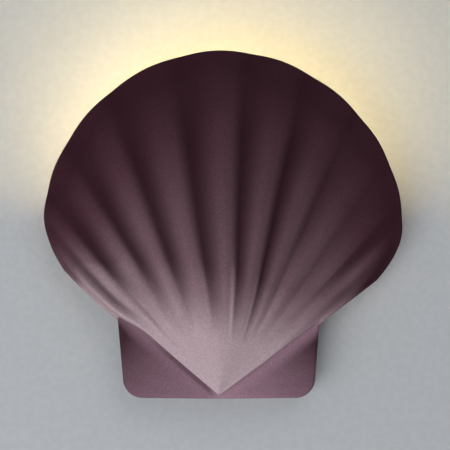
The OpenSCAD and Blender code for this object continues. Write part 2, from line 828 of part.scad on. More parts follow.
// The earth lead with its ring terminal and crimped barrel
module earth_lead() {
    near = earth_seat + earth_washer_t;
    ring_r = earth_boss_d / 2;
    barrel_depth = near + barrel_d / 2;
    barrel_start = -earth_x + ring_r;
    barrel_end = barrel_start + barrel_length;
    pole_x = -(pole_count - 1) / 2 * pole_pitch;
    pole_v = terminal_height - terminal_length / 2 + wire_sink;
    color("#7f9a3a") {
        slab(near, near + ring_terminal_t)
            translate([-earth_x, earth_height])
                difference() {
                    union() {
                        circle(r = ring_r);
                        translate([0, -barrel_d / 2]) square([ring_r + barrel_length / 2, barrel_d]);
                    }
                    circle(d = lid_screw_d + hole_play);
                }
        translate([barrel_start, -barrel_depth, base_z + earth_height])
            rotate([0, 90, 0])
                cylinder(d = barrel_d, h = barrel_length);
        lead([[
            [pole_x, pole_v, wire_depth],
            [pole_x, pole_v - 9, wire_depth],
            [barrel_end + 8, earth_height, barrel_depth],
            [barrel_end - joint, earth_height, barrel_depth]
        ]], lead_d, [0, 0, 1]);
    }
}

module supply_leads() {
    start = terminal_height + terminal_length / 2 - wire_sink;
    finish = driver_height - driver_width / 2;
    color("#5a3a26")
    for (n = [1 : pole_count - 1]) {
        x = (n - (pole_count - 1) / 2) * pole_pitch;
        target = x / 2 + driver_lead_x;
        lead([[
            [x, start, wire_depth], [x, start + 9, wire_depth],
            [target, finish - 5, driver_lead_depth], [target, finish, driver_lead_depth]
        ]], lead_d, [0, 0, 1]);
    }
}

module led_driver() {
    color("#e6e6e3")
    difference() {
        union() {
            slab(box_wall, box_wall + driver_t)
                translate([0, driver_height])
                    rounded(driver_length, driver_width, 2);
            slab(driver_seat, driver_seat + driver_tab_t)
                translate([0, driver_height])
                    square([driver_length + 2 * driver_tab, driver_boss_d], center = true);
        }
        for (side = [-1, 1])
            rod(side * driver_screw_x, driver_height, driver_seat - 1, driver_seat + driver_tab_t + 1, small_screw_d + hole_play);
    }
}

module driver_screws() {
    color("#b9bbbd")
    for (side = [-1, 1]) tab_screw(side * driver_screw_x, driver_height, driver_seat, driver_tab_t);
}

module output_leads() {
    start = driver_height + driver_width / 2;
    color("#a3322b")
    for (side = [-1, 1]) {
        x = side * output_lead_x;
        lead([
            [
                [x, start, driver_lead_depth], [x, wire_pass_height, driver_lead_depth],
                [x, wire_pass_height, lid_back - 6], [x, wire_pass_height, lid_back]
            ],
            [
                [x, wire_pass_height, lid_back], [x, wire_pass_height, lid_front + 2],
                [x, wire_pass_height, lead_pad_depth], [x, board_top, lead_pad_depth]
            ]
        ], lead_d, [1, 0, 0]);
    }
}

module lid_gasket() {
    color("#3a3a3c")
    slab(box_depth, lid_back)
        difference() {
            box_outline(0);
            box_outline(box_wall);
            lid_screw_places() circle(d = lid_post_d + 2 * recess_play);
        }
}

// The lid with the lamp head, cooling fins and hanger bosses, cast in one
module lamp_head() {
    color("#a4a5a8")
    difference() {
        union() {
            slab(lid_back, lid_front) box_outline(0);
            upright(head_bottom, box_top) head_shape(lid_back);
            for (n = [0 : fin_count - 1])
                upright(head_bottom - fin_height, head_bottom + joint)
                    translate([(n / (fin_count - 1) - 0.5) * fin_span - fin_t / 2, lid_front - joint])
                        square([fin_t, head_depth - fin_setback]);
            for (side = [-1, 1]) rod(side * hanger_screw_x, pillar_height, lid_front - joint, hanger_back, hanger_boss_d);
        }
        slab(lid_back - 1, lid_front + 1) lid_screw_places() circle(d = lid_screw_d + hole_play);
        for (side = [-1, 1]) {
            for (v = lid_screw_rows) at_wall(side * lid_screw_x, v, lid_front) head_cone(lid_screw_d + hole_play, lid_head_sink);
            rod(side * hanger_screw_x, pillar_height, lid_back + 1, hanger_back + 1, lid_screw_d + thread_play);
        }
        upright(pocket_floor, box_top + 1) window(0);
        upright(lens_seat, box_top + 1) window(lens_ledge);
        upright(box_top - lens_screw_reach, box_top + 1) lens_screw_places() circle(d = small_screw_d + thread_play);
        upright(pocket_floor - board_screw_reach, pocket_floor + 1)
            board_screw_places() circle(d = small_screw_d + thread_play);
        rod(0, wire_pass_height, lid_back - 1, head_middle, wire_pass_d);
    }
}

// The lamp head's outline, seen from above, from a given distance to its front
module head_shape(back) {
    translate([0, (back + head_front) / 2])
        rounded(2 * head_half_width, head_front - back, head_corner_r);
}

// The light window, seen from above
module window(grow) {
    translate([0, head_middle])
        rounded(2 * (pocket_half_width + grow), pocket_depth + 2 * grow, window_corner_r + grow);
}

module lens_screw_places() {
    for (side = [-1, 1], row = [-1, 1])
        translate([side * lens_screw_x, head_middle + row * lens_screw_row]) children();
}

module board_screw_places() {
    for (side = [-1, 1]) translate([side * board_screw_x, head_middle]) children();
}

module lid_screws() {
    color("#c4c6c8")
    for (side = [-1, 1], v = lid_screw_rows)
        at_wall(side * lid_screw_x, v, lid_front)
            flush_screw(lid_screw_d, lid_front - lid_back + lid_thread - thread_gap, lid_head_sink, large_socket);
}

module board_shape(play) {
    difference() {
        window(-play);
        board_screw_places() circle(d = small_screw_d + hole_play);
    }
}

module heat_pad() {
    color("#9aa7b5")
    upright(pocket_floor, pocket_floor + heat_pad_t) board_shape(2 * recess_play);
}

module led_board() {
    color("#f2f2ee")
    upright(pocket_floor + heat_pad_t, board_top) board_shape(recess_play);
}

module led_chips() {
    color("#f0d27a")
    for (n = [0 : chip_count - 1])
        upright(board_top, board_top + chip_t)
            translate([(n - (chip_count - 1) / 2) * chip_pitch, head_middle])
                square(chip_side, center = true);
}

module board_screws() {
    color("#c4c6c8")
    for (side = [-1, 1])
        translate([side * board_screw_x, -head_middle, base_z + board_top])
            pan_screw(small_screw_d, heat_pad_t + board_t + board_screw_reach - thread_gap,
                small_head_d, small_head_t, small_socket);
}

module lens_gasket() {
    color("#3a3a3c")
    upright(lens_seat, lens_seat + lens_gasket_t)
        difference() {
            window(lens_ledge - recess_play);
            window(0);
        }
}

module lens() {
    color("#f6efdc")
    upright(lens_seat + lens_gasket_t, box_top) window(lens_ledge - recess_play);
}

module lens_frame() {
    color("#8f8f93")
    upright(box_top, box_top + lens_frame_t)
        difference() {
            head_shape(lid_front);
            window(-0.5);
            lens_screw_places() circle(d = small_screw_d + hole_play);
        }
}

module lens_screws() {
    color("#c4c6c8")
    for (side = [-1, 1], row = [-1, 1])
        translate([side * lens_screw_x, -head_middle - row * lens_screw_row, base_z + box_top + lens_frame_t])
            pan_screw(small_screw_d, lens_frame_t + lens_screw_reach - thread_gap,
                small_head_d, small_head_t, small_socket);
}

// A screwed plug with a pinhole that lets the box breathe
module breather_vent() {
    color("#2b2b2d")
    difference() {
        union() {
            post(0, vent_depth, box_bottom - vent_flange_t, box_bottom, vent_flange_d);
            post(0, vent_depth, box_bottom - joint, box_bottom + vent_reach, vent_d);
        }
        post(0, vent_depth, box_bottom - vent_flange_t - 1, box_bottom + vent_reach + 1, vent_pinhole_d);
    }
}

// A steel bar that the shell's studs slide up into
module hanger_bar() {
    color("#b9bbbd")
    slab(hanger_back, hanger_front)
        difference() {
            translate([0, pillar_height + (hanger_reach - hanger_drop) / 2])
                rounded(2 * hanger_half, hanger_reach + hanger_drop, 3);
            for (side = [-1, 1]) {
                translate([side * pillar_x, pillar_height]) circle(d = stud_d + hole_play);
                translate([side * pillar_x - (stud_d + hole_play) / 2, pillar_height - hanger_drop - 1])
                    square([stud_d + hole_play, hanger_drop + 1]);
                translate([side * hanger_screw_x, pillar_height]) circle(d = lid_screw_d + hole_play);
            }
        }
}

module hanger_screws() {
    color("#c4c6c8")
    for (side = [-1, 1])
        at_wall(side * hanger_screw_x, pillar_height, hanger_front)
            pan_screw(lid_screw_d, hanger_front - lid_back - 1 - thread_gap, large_head_d, large_head_t, large_socket);
}

// Shouldered studs, screwed into the shell's pillars and hooked behind the bar
module hanger_studs() {
    head = hanger_back - 0.3;
    color("#c4c6c8")
    for (side = [-1, 1]) {
        difference() {
            union() {
                rod(side * pillar_x, pillar_height, head - stud_head_t, head, stud_head_d);
                rod(side * pillar_x, pillar_height, head - joint, hanger_front, stud_d);
                rod(side * pillar_x, pillar_height, hanger_front - joint, hanger_front + stud_reach, small_screw_d);
            }
            rod(side * pillar_x, pillar_height, head - stud_head_t - 1, head - stud_head_t / 2, large_socket, $fn = 6);
        }
    }
}

module shell_screws() {
    color("#9a9c9f")
    for (side = [-1, 1])
        translate([side * shell_screw_x, -shell_screw_depth, base_z])
            rotate([180, 0, 0])
                flush_screw(shell_screw_d, shell_boss_top - 2, shell_head_sink, large_socket);
}

shell_cover();
back_box();
wall_gasket();
cable_grommet();
terminal_block();
terminal_screws();
terminal_fixings();
earth_screw();
earth_washer();
earth_lead();
supply_leads();
led_driver();
driver_screws();
output_leads();
lid_gasket();
lamp_head();
lid_screws();
heat_pad();
led_board();
led_chips();
board_screws();
lens_gasket();
lens();
lens_frame();
lens_screws();
breather_vent();
hanger_bar();
hanger_screws();
hanger_studs();
shell_screws();
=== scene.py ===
# %% [markdown]
# # An outdoor wall light with a scallop-shell front
# The real light is a ribbed casting, painted in satin plum, that hides a small sealed lamp. The lamp shines
# upwards and sideways between the shell and the wall. The CAD model gives every piece its place, and this
# lesson gives the pieces their looks. Lengths in the shell's formulas are millimetres, as on a drawing, and
# Blender's own lengths are metres. All heights in the formulas are measured from the shell's base line.

import json
import math

import bmesh
import bpy
from mathutils import Matrix, Vector, kdtree
from mathutils.bvhtree import BVHTree


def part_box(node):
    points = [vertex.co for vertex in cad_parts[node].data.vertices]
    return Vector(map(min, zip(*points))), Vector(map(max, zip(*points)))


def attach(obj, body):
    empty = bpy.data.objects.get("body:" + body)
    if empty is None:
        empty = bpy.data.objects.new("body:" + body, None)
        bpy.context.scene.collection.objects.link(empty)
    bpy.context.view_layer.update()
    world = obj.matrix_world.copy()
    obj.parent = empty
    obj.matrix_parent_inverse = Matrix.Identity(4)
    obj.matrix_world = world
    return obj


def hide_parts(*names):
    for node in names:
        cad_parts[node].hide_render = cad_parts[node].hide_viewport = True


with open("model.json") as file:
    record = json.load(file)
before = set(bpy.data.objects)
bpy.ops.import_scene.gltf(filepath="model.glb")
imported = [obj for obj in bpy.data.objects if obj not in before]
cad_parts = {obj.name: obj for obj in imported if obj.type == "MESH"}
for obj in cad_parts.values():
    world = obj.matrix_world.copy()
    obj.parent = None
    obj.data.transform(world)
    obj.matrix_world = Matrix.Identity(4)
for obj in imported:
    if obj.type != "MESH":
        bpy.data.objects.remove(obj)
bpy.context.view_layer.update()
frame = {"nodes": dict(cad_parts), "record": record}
nodes = frame["nodes"]
# Metres in a millimetre, and millimetres above the part's own zero
MM = 0.001
BASE_LINE = -60


# %% [markdown]
# The photograph looks straight at the wall, so the camera looks along +Y from well back with a long lens,
# which keeps the shell's outline free of perspective. Two facts place it: the pixel at which the shell's
# tip lies, and how many millimetres one pixel covers at the shell's rim.

# %% Camera at the photograph's viewing angle
# Pixels
PHOTO_SIDE = 450
TIP_PIXEL = (219, 398)
# Millimetres
MM_PER_PIXEL = 0.663
SENSOR_WIDTH = 36
# Metres
CAMERA_DISTANCE = 1.5
RIM_DEPTH = 0.025


def placed(name, data):
    """Puts an object with some data into the scene."""
    thing = bpy.data.objects.new(name, data)
    bpy.context.scene.collection.objects.link(thing)
    return thing


camera_data = bpy.data.cameras.new("photo_camera")
camera_data.sensor_width = SENSOR_WIDTH
camera_data.lens = SENSOR_WIDTH * CAMERA_DISTANCE / (PHOTO_SIDE * MM_PER_PIXEL * MM)
camera = placed("photo_camera", camera_data)
camera.location = (
    (PHOTO_SIDE / 2 - TIP_PIXEL[0]) * MM_PER_PIXEL * MM,
    -CAMERA_DISTANCE - RIM_DEPTH,
    (BASE_LINE + (TIP_PIXEL[1] - PHOTO_SIDE / 2) * MM_PER_PIXEL) * MM,
)
camera.rotation_euler = (math.radians(90), 0, 0)
bpy.context.scene.camera = camera
bpy.context.scene.view_settings.view_transform = "Standard"
print("lens in mm:", round(camera_data.lens, 1))


# %% [markdown]
# ## The shell as a rule
# A scallop's shape follows a rule, so Geometry Nodes can make it: a flat grid is bent into a fan of ribs.
# The rule is easiest to read as arithmetic. A `Field` stands for a number inside a node tree, and Python's
# own signs on it add Math nodes to that tree. The same small class serves the shader groups further down.

# %% Arithmetic that builds nodes
class Field:
    """A number or vector inside a node tree, on which arithmetic adds nodes."""

    def __init__(self, socket):
        self.socket = socket

    def __add__(self, other):
        return maths("ADD", self, other)

    def __radd__(self, other):
        return maths("ADD", other, self)

    def __sub__(self, other):
        return maths("SUBTRACT", self, other)

    def __rsub__(self, other):
        return maths("SUBTRACT", other, self)

    def __mul__(self, other):
        return maths("MULTIPLY", self, other)

    def __rmul__(self, other):
        return maths("MULTIPLY", other, self)

    def __truediv__(self, other):
        return maths("DIVIDE", self, other)

    def __pow__(self, power):
        return maths("POWER", self, power)

    def __abs__(self):
        return maths("ABSOLUTE", self)


def connect(value, socket):
    """Feeds a socket from a Field, or sets it to a plain value."""
    if isinstance(value, Field):
        socket.id_data.links.new(value.socket, socket)
    else:
        socket.default_value = value


def tree_of(values):
    """The tree that the Fields among some values are in."""
    return next(value.socket.id_data for value in values if isinstance(value, Field))


def calculation(kind, operation, values):
    """Adds a node that works something out from its values."""
    node = tree_of(values).nodes.new(kind)
    node.operation = operation
    for value, socket in zip(values, node.inputs):
        connect(value, socket)
    return node


def maths(operation, *values):
    return Field(calculation("ShaderNodeMath", operation, values).outputs[0])


def vector_maths(operation, *values):
    node = calculation("ShaderNodeVectorMath", operation, values)
    return Field(node.outputs["Value" if operation == "DOT_PRODUCT" else "Vector"])


def scaled(vector, factor):
    node = calculation("ShaderNodeVectorMath", "SCALE", [vector])
    connect(factor, node.inputs["Scale"])
    return Field(node.outputs["Vector"])


def parts_of(vector):
    """The X, Y and Z of a vector."""
    node = tree_of([vector]).nodes.new("ShaderNodeSeparateXYZ")
    connect(vector, node.inputs[0])
    return [Field(socket) for socket in node.outputs]


def joined(*parts):
    """A vector from its X, Y and Z."""
    node = tree_of(parts).nodes.new("ShaderNodeCombineXYZ")
    for value, socket in zip(parts, node.inputs):
        connect(value, socket)
    return Field(node.outputs[0])


def mix(a, b, share):
    return a + (b - a) * share


def smooth(low, high, value):
    """0 below low, 1 above high, with a soft rise between."""
    node = tree_of([value]).nodes.new("ShaderNodeMapRange")
    node.interpolation_type = "SMOOTHSTEP"
    connect(value, node.inputs["Value"])
    connect(low, node.inputs["From Min"])
    connect(high, node.inputs["From Max"])
    return Field(node.outputs["Result"])


def band(rise, fall, value):
    """1 between a soft rise and a soft fall, which are given by their two ends, and 0 outside them."""
    return smooth(*rise, value) * (1 - smooth(*fall, value))


def between(low, high, value):
    return maths("MINIMUM", maths("MAXIMUM", value, low), high)


def sine(degrees):
    return maths("SINE", degrees * math.radians(1))


def cosine(degrees):
    return maths("COSINE", degrees * math.radians(1))


def tangent(degrees):
    return maths("TANGENT", degrees * math.radians(1))


print("signs on a Field:", [name.strip("_") for name, rule in vars(Field).items() if callable(rule)][1:])


# %% [markdown]
# Each tree gets named inputs for its sizes, so that a reader can change a size in the modifier panel. A
# modifier's input is set by the socket's identifier, and it is set before the object is first evaluated.
# The finished shape is then turned into a plain mesh, because the export doesn't keep modifiers or
# instances.

# %% Start and finish a Geometry Nodes tree
SOCKET_TYPES = {int: "NodeSocketInt", float: "NodeSocketFloat", bpy.types.Material: "NodeSocketMaterial",
                bpy.types.Object: "NodeSocketObject"}


def new_tree(name, sizes):
    """A tree with one named input for each size. Gives the tree, its inputs and its output node."""
    tree = bpy.data.node_groups.new(name, "GeometryNodeTree")
    tree.interface.new_socket("Geometry", in_out="OUTPUT", socket_type="NodeSocketGeometry")
    for label, value in sizes.items():
        kind = next(kind for base, kind in SOCKET_TYPES.items() if isinstance(value, base))
        tree.interface.new_socket(label, in_out="INPUT", socket_type=kind)
    start = tree.nodes.new("NodeGroupInput")
    inputs = {label: Field(start.outputs[label]) for label in sizes}
    return tree, inputs, tree.nodes.new("NodeGroupOutput")


def node_step(tree, kind, geometry=None, inputs=None, **settings):
    """Adds one node, feeds it and gives it back. Its geometry goes into its first input."""
    node = tree.nodes.new(kind)
    for name, value in settings.items():
        setattr(node, name, value)
    if geometry:
        tree.links.new(geometry, node.inputs[0])
    for name, value in (inputs or {}).items():
        connect(value, node.inputs[name])
    return node


def evaluated_mesh(piece):
    """A plain mesh of the shape that a piece has after its modifiers."""
    bpy.context.view_layer.update()
    graph = bpy.context.evaluated_depsgraph_get()
    return bpy.data.meshes.new_from_object(piece.evaluated_get(graph))


def grown_mesh(name, tree, sizes):
    """Runs a tree with its sizes on an empty object and returns the plain mesh as an object."""
    seed = placed(name + "_seed", bpy.data.meshes.new(name + "_seed"))
    modifier = seed.modifiers.new(name, "NODES")
    modifier.node_group = tree
    for item in tree.interface.items_tree:
        if item.in_out == "INPUT":
            modifier[item.identifier] = sizes[item.name]
    mesh = evaluated_mesh(seed)
    bpy.data.objects.remove(seed)
    mesh.name = name
    return placed(name, mesh)


print("kinds of named input:", [base.__name__ for base in SOCKET_TYPES])


# %% [markdown]
# ## The shader groups
# Every finish on this light has some fine unevenness. One group, `fine_grain`, gives the pebbled skin of a
# textured paint, a sand casting or a moulded plastic: a height for a bump, and a mask that varies the
# colour. Another, `weathering`, gives soft blotches and the dust that settles on faces that look upwards. A
# third, `brush_marks`, gives the drawn lines of machined metal. The groups put out only values, and each
# material keeps its own Principled shader.

# %% Shader node groups used by several finishes
COARSE_GRAINS = 0.35
SPECKLE_GRAINS = 0.8
DUST_FLECKS = 6
DRAWN_LINES = (0.06, 1, 1)


def new_group(name, numbers, outputs):
    """A shader group with named numbers. Gives the group, its inputs and the sockets that it puts out."""
    group = bpy.data.node_groups.new(name, "ShaderNodeTree")
    for label, value in numbers.items():
        socket = group.interface.new_socket(label, in_out="INPUT", socket_type="NodeSocketFloat")
        socket.default_value = value
    for label in outputs:
        group.interface.new_socket(label, in_out="OUTPUT", socket_type="NodeSocketFloat")
    start = group.nodes.new("NodeGroupInput")
    inputs = {label: Field(start.outputs[label]) for label in numbers}
    return group, inputs, group.nodes.new("NodeGroupOutput").inputs


def object_place(tree, stretch=(1, 1, 1)):
    """Object coordinates, stretched if asked."""
    place = Field(tree.nodes.new("ShaderNodeTexCoord").outputs["Object"])
    return vector_maths("MULTIPLY", place, stretch)


def noise(place, scale, detail=2.0, roughness=0.5):
    """A soft noise from 0 to 1 over a place."""
    node = tree_of([place]).nodes.new("ShaderNodeTexNoise")
    connect(place, node.inputs["Vector"])
    connect(scale, node.inputs["Scale"])
    node.inputs["Detail"].default_value = detail
    node.inputs["Roughness"].default_value = roughness
    return Field(node.outputs["Fac"])


grain_numbers = {"Grains per metre": 900.0, "Softness": 0.5}
grain_group, grain_in, grain_out = new_group("fine_grain", grain_numbers, ["Height", "Speckle"])
grain_place = object_place(grain_group)
grains = grain_in["Grains per metre"]
fine = noise(grain_place, grains, 3.0, 0.6)
coarse = noise(grain_place, grains * COARSE_GRAINS)
speckle = noise(grain_place, grains * SPECKLE_GRAINS, 1.0)
connect(mix(fine, coarse, grain_in["Softness"]), grain_out["Height"])
connect(smooth(0.35, 0.65, speckle), grain_out["Speckle"])

weather_numbers = {"Patches per metre": 22.0, "Dust": 0.4}
weather_group, weather_in, weather_out = new_group("weathering", weather_numbers, ["Patches", "Dust"])
weather_place = object_place(weather_group)
patches = noise(weather_place, weather_in["Patches per metre"], 4.0, 0.55)
facing = Field(weather_group.nodes.new("ShaderNodeNewGeometry").outputs["Normal"])
upward = vector_maths("DOT_PRODUCT", facing, (0, 0, 1))
flecks = noise(weather_place, weather_in["Patches per metre"] * DUST_FLECKS, 5.0, 0.7)
connect(patches, weather_out["Patches"])
connect(smooth(0.2, 0.95, upward) * smooth(0.3, 0.7, flecks) * weather_in["Dust"], weather_out["Dust"])

brush_numbers = {"Marks per metre": 2500.0}
brush_group, brush_in, brush_out = new_group("brush_marks", brush_numbers, ["Height", "Streaks"])
streaks = noise(object_place(brush_group, DRAWN_LINES), brush_in["Marks per metre"], 3.0, 0.7)
connect(streaks, brush_out["Height"])
connect(smooth(0.3, 0.7, streaks), brush_out["Streaks"])
print("shader groups:", grain_group.name, weather_group.name, brush_group.name)


# %% [markdown]
# ## A base for every finish
# Most finishes differ only in their colours and a few numbers, so one function builds them. A finish mixes
# two near tones of its colour by the grain's speckle and the patches, lays dust on top, and lets the grain
# roughen the surface. The numbers that are the same all over are set straight on the Principled shader's
# sockets.

# %% Build a material from its tones
# Colours are linear red, green and blue, and depths are metres
DUST_COLOUR = (0.42, 0.39, 0.36)
DUST_ROUGHENS = 0.3
SPECKLE_SHARE = 0.45
STREAK_SHARE = 0.6
METAL_DUST = 0.15
MARKS_PER_METRE = 2500.0
STREAK_BUMP = 0.08
STREAK_DEPTH = 0.00005


def group_node(tree, group, **numbers):
    """Puts a shader group into a material and gives what it puts out, by name."""
    node = tree.nodes.new("ShaderNodeGroup")
    node.node_tree = group
    for label, value in numbers.items():
        node.inputs[label.replace("_", " ")].default_value = value
    return {socket.name: Field(socket) for socket in node.outputs}


def identified(sockets, identifier):
    """One socket of a Mix node, which has several sockets of the same name."""
    return next(socket for socket in sockets if socket.identifier == identifier)


def mix_colour(tree, a, b, share):
    """A mix of two colours, each a Field or plain red, green and blue."""
    node = tree.nodes.new("ShaderNodeMix")
    node.data_type = "RGBA"
    for value, identifier in ((a, "A_Color"), (b, "B_Color")):
        connect(value if isinstance(value, Field) else (*value, 1), identified(node.inputs, identifier))
    connect(share, identified(node.inputs, "Factor_Float"))
    return Field(identified(node.outputs, "Result_Color"))


def new_material(name, **numbers):
    """An empty material with a Principled shader, and that shader's node."""
    material = bpy.data.materials.new(name)
    material.use_nodes = True
    shader = material.node_tree.nodes["Principled BSDF"]
    for label, value in numbers.items():
        shader.inputs[label.replace("_", " ")].default_value = value
    return material, shader


def bump_from(tree, shader, height, strength, depth):
    """Lets a height roughen a shader's surface. The depth is in metres."""
    bump = tree.nodes.new("ShaderNodeBump")
    bump.inputs["Strength"].default_value = strength
    bump.inputs["Distance"].default_value = depth
    connect(height, bump.inputs["Height"])
    tree.links.new(bump.outputs["Normal"], shader.inputs["Normal"])


def finish(name, dark, light, rough, grains, bump, depth=0.0002, dust=0.3, **numbers):
    """A painted, cast or moulded finish between a dark and a light tone."""
    material, shader = new_material(name, **numbers)
    tree = material.node_tree
    grain = group_node(tree, grain_group, Grains_per_metre=grains)
    weather = group_node(tree, weather_group, Dust=dust)
    share = grain["Speckle"] * SPECKLE_SHARE + weather["Patches"] * (1 - SPECKLE_SHARE)
    tone = mix_colour(tree, dark, light, share)
    connect(mix_colour(tree, tone, DUST_COLOUR, weather["Dust"]), shader.inputs["Base Color"])
    connect(mix(*rough, grain["Speckle"]) + weather["Dust"] * DUST_ROUGHENS, shader.inputs["Roughness"])
    bump_from(tree, shader, grain["Height"], bump, depth)
    return material


def metal_finish(name, dark, light, rough=(0.25, 0.4)):
    """Bare metal with fine drawn lines."""
    material, shader = new_material(name, Metallic=1.0)
    tree = material.node_tree
    brush = group_node(tree, brush_group, Marks_per_metre=MARKS_PER_METRE)
    weather = group_node(tree, weather_group, Dust=METAL_DUST)
    share = brush["Streaks"] * STREAK_SHARE + weather["Patches"] * (1 - STREAK_SHARE)
    tone = mix_colour(tree, dark, light, share)
    connect(mix_colour(tree, tone, DUST_COLOUR, weather["Dust"]), shader.inputs["Base Color"])
    connect(mix(*rough, brush["Streaks"]), shader.inputs["Roughness"])
    bump_from(tree, shader, brush["Height"], STREAK_BUMP, STREAK_DEPTH)
    return material


print("colour of the dust on every finish:", DUST_COLOUR)


# %% [markdown]
# ## The shell's paint
# The photograph shows a deep plum paint with a pale mauve brushed over whatever stands proud: strongest at
# the tip and along the creases, thinner up the ribs and gone at the rim, so the grooves and the ears' outer
# corners stay dark. Much of this is painted light and shade as well: the fan is painted paler low down and
# darker high up, as under a light from below, with a greyish painted sheen at the tip, the creases carry a
# painted highlight, and the grooves and the ears' corners carry painted shade. The brush's strokes run out
# from the tip. The inside has one plain, dark coat. A level from 0 at the tip to 1 at the rim picks the tone
# from a short row of tones.

# %% Tones and sizes of the shell's paint
# Pale at the tip and dark at the rim: partly the paint's own change of tone and partly painted light, as
# from a light below the fan, with a greyish painted sheen in the tip's tones
FAN_TONES = [
    (0.00, (0.440, 0.335, 0.370)),
    (0.17, (0.390, 0.290, 0.322)),
    (0.28, (0.225, 0.146, 0.170)),
    (0.37, (0.146, 0.084, 0.103)),
    (0.60, (0.098, 0.049, 0.064)),
    (0.78, (0.068, 0.028, 0.040)),
    (0.95, (0.036, 0.011, 0.018)),
]
# The grooves' dark tone, partly a darker paint and partly painted shade
GROOVE_TONE = (0.022, 0.005, 0.010)
GROOVE_SHADE = 0.9
# The pale tone along the creases, partly brushed mauve and partly a painted highlight
CREASE_PALE_AND_HIGHLIGHT = (0.330, 0.235, 0.262)
CREASE_COVER = 0.75
INSIDE_TONE = (0.095, 0.066, 0.073)
# The ears run from a pale tone to a dark one, and the dark towards their outer corners is painted shade
EAR_NEAR = (0.300, 0.178, 0.232)
EAR_FAR = (0.045, 0.018, 0.026)
SAND_TONES = (0.92, 1.08)
PAINT_DUST = 0.1
PAINT_ROUGHNESS = (0.52, 0.66)
PAINT_BUMP = 0.3
# Metres
PAINT_GRAIN_DEPTH = 0.0004
# Millimetres
FAN_HEIGHT = 230.0
EAR_HALF_WIDTH = 63.0
EAR_HEIGHT = 50.0
# Degrees off upright
LEFT_CREASE = 49.2
RIGHT_CREASE = 53.3
print("tones from the tip to the rim:", len(FAN_TONES))


# %% [markdown]
# Low on the fan, the height above the base line sets the level, so the fan is painted paler low down and
# darker high up, partly as painted light from below, and the level rises a little from left to right as
# painted shade from a light on the left. Near the rim, the reach sets it, which is the share of the way out
# from the tip. The ears darken towards their outer corners, and the left one is darker, as painted shade.
# Place and direction come from Object coordinates. Six facts that the shell's Geometry Nodes store on its
# mesh, "reach", "valley", "pale_line", "crease_share", "ear_share" and "inside", tell
# the paint which part it is on.

# %% Shell paint
# Reaches between which the rim's rule takes over, and how much later that is low on either side
RIM_START = 0.56
RIM_FULL = 0.80
RIM_LATER_LEFT = 0.3
RIM_LATER_RIGHT = 0.15
# Levels
RIM_PALER_LEFT = 0.2
# How much paler the painted highlight on the left bank of two grooves is
GLINT_LIFT = 0.08
PATCH_SPAN = 0.14
PATCHES_LOW_DOWN = 0.4
STROKE_SPAN = 0.09
# Levels per millimetre across, which paint the right side darker as painted shade from a light on the left,
# and the share of this that is lost high up
SHADE_LEFT_TO_RIGHT = 0.0009
EVENED_HIGH_UP = 0.8
# Degrees off upright
LOWER_LEFT = (-36, -52)
LOWER_RIGHT = (43, 47)
# Strokes per radian round the tip, and per millimetre out from it
STROKES_ACROSS = 9
STROKES_ALONG = 0.02
# Shares of the ears' painted shade, and of the painted shadow under the left crease
EAR_LOW_SHARE = 0.45
EAR_DARKENING = 1.15
LEFT_EAR_DARKER = 0.3
CREASE_LINE_SHADE = 0.45
# Millimetres above the base line, from the middle or from the crease
HIGH_UP = (90.0, 150.0)
SIDES_MEET = (-8.0, 0.0)
CREASE_LINE_END = (30.0, 48.0)
BESIDE_CREASE = (-1.0, 10.0)
CREASE_LINE_WIDTH = (0.4, 2.6)


def stored_fact(tree, name):
    """A number that Geometry Nodes stored on the mesh."""
    node = tree.nodes.new("ShaderNodeAttribute")
    node.attribute_name = name
    return Field(node.outputs["Fac"])


def fan_level(tree, sideways, up, turn):
    """Where a point of the fan lies in the row of tones."""
    lower_left = smooth(*map(math.radians, LOWER_LEFT), turn)
    lower_right = smooth(*map(math.radians, LOWER_RIGHT), turn)
    reach = stored_fact(tree, "reach")
    # Painted shade: the right side is painted darker, as if lit from the left, less so high up
    painted_side_shade = sideways * SHADE_LEFT_TO_RIGHT * (1 - EVENED_HIGH_UP * smooth(*HIGH_UP, up))
    later = lower_left * RIM_LATER_LEFT + lower_right * RIM_LATER_RIGHT
    by_rim = smooth(RIM_START, RIM_FULL, reach - later)
    # Low down the level follows the height, so the fan is painted paler low and darker high up, partly as
    # painted light from below
    level = mix(up / FAN_HEIGHT + painted_side_shade, reach - lower_left * RIM_PALER_LEFT, by_rim)
    # The painted highlight beside two grooves lowers the level, which makes it paler
    return level - stored_fact(tree, "pale_line") * GLINT_LIFT


def ear_tone(tree, sideways, up, unevenness):
    """The ears' colour, with painted shade at the outer corners and a thin painted shadow under the left
    crease.
    """
    across = abs(sideways)
    left = 1 - smooth(*SIDES_MEET, sideways)
    crease_turn = mix(math.radians(RIGHT_CREASE), math.radians(LEFT_CREASE), left)
    below_crease = across * maths("COSINE", crease_turn) - up * maths("SINE", crease_turn)
    outwards = across / EAR_HALF_WIDTH * smooth(*BESIDE_CREASE, below_crease)
    corner = outwards * mix(EAR_LOW_SHARE, 1.0, up / EAR_HEIGHT)
    # Painted shade: darker towards the outer upper corners, and more on the left ear
    darkness = mix(corner * EAR_DARKENING, 1.0, left * LEFT_EAR_DARKER * (1 - corner)) + unevenness
    tone = mix_colour(tree, EAR_NEAR, EAR_FAR, between(0.0, 1.0, darkness))
    # A painted shadow: a thin dark line under the left crease, where the fan's edge stands over the ear
    line = (1 - smooth(*CREASE_LINE_WIDTH, abs(below_crease))) * (1 - smooth(*CREASE_LINE_END, across))
    return mix_colour(tree, tone, EAR_FAR, line * left * CREASE_LINE_SHADE)


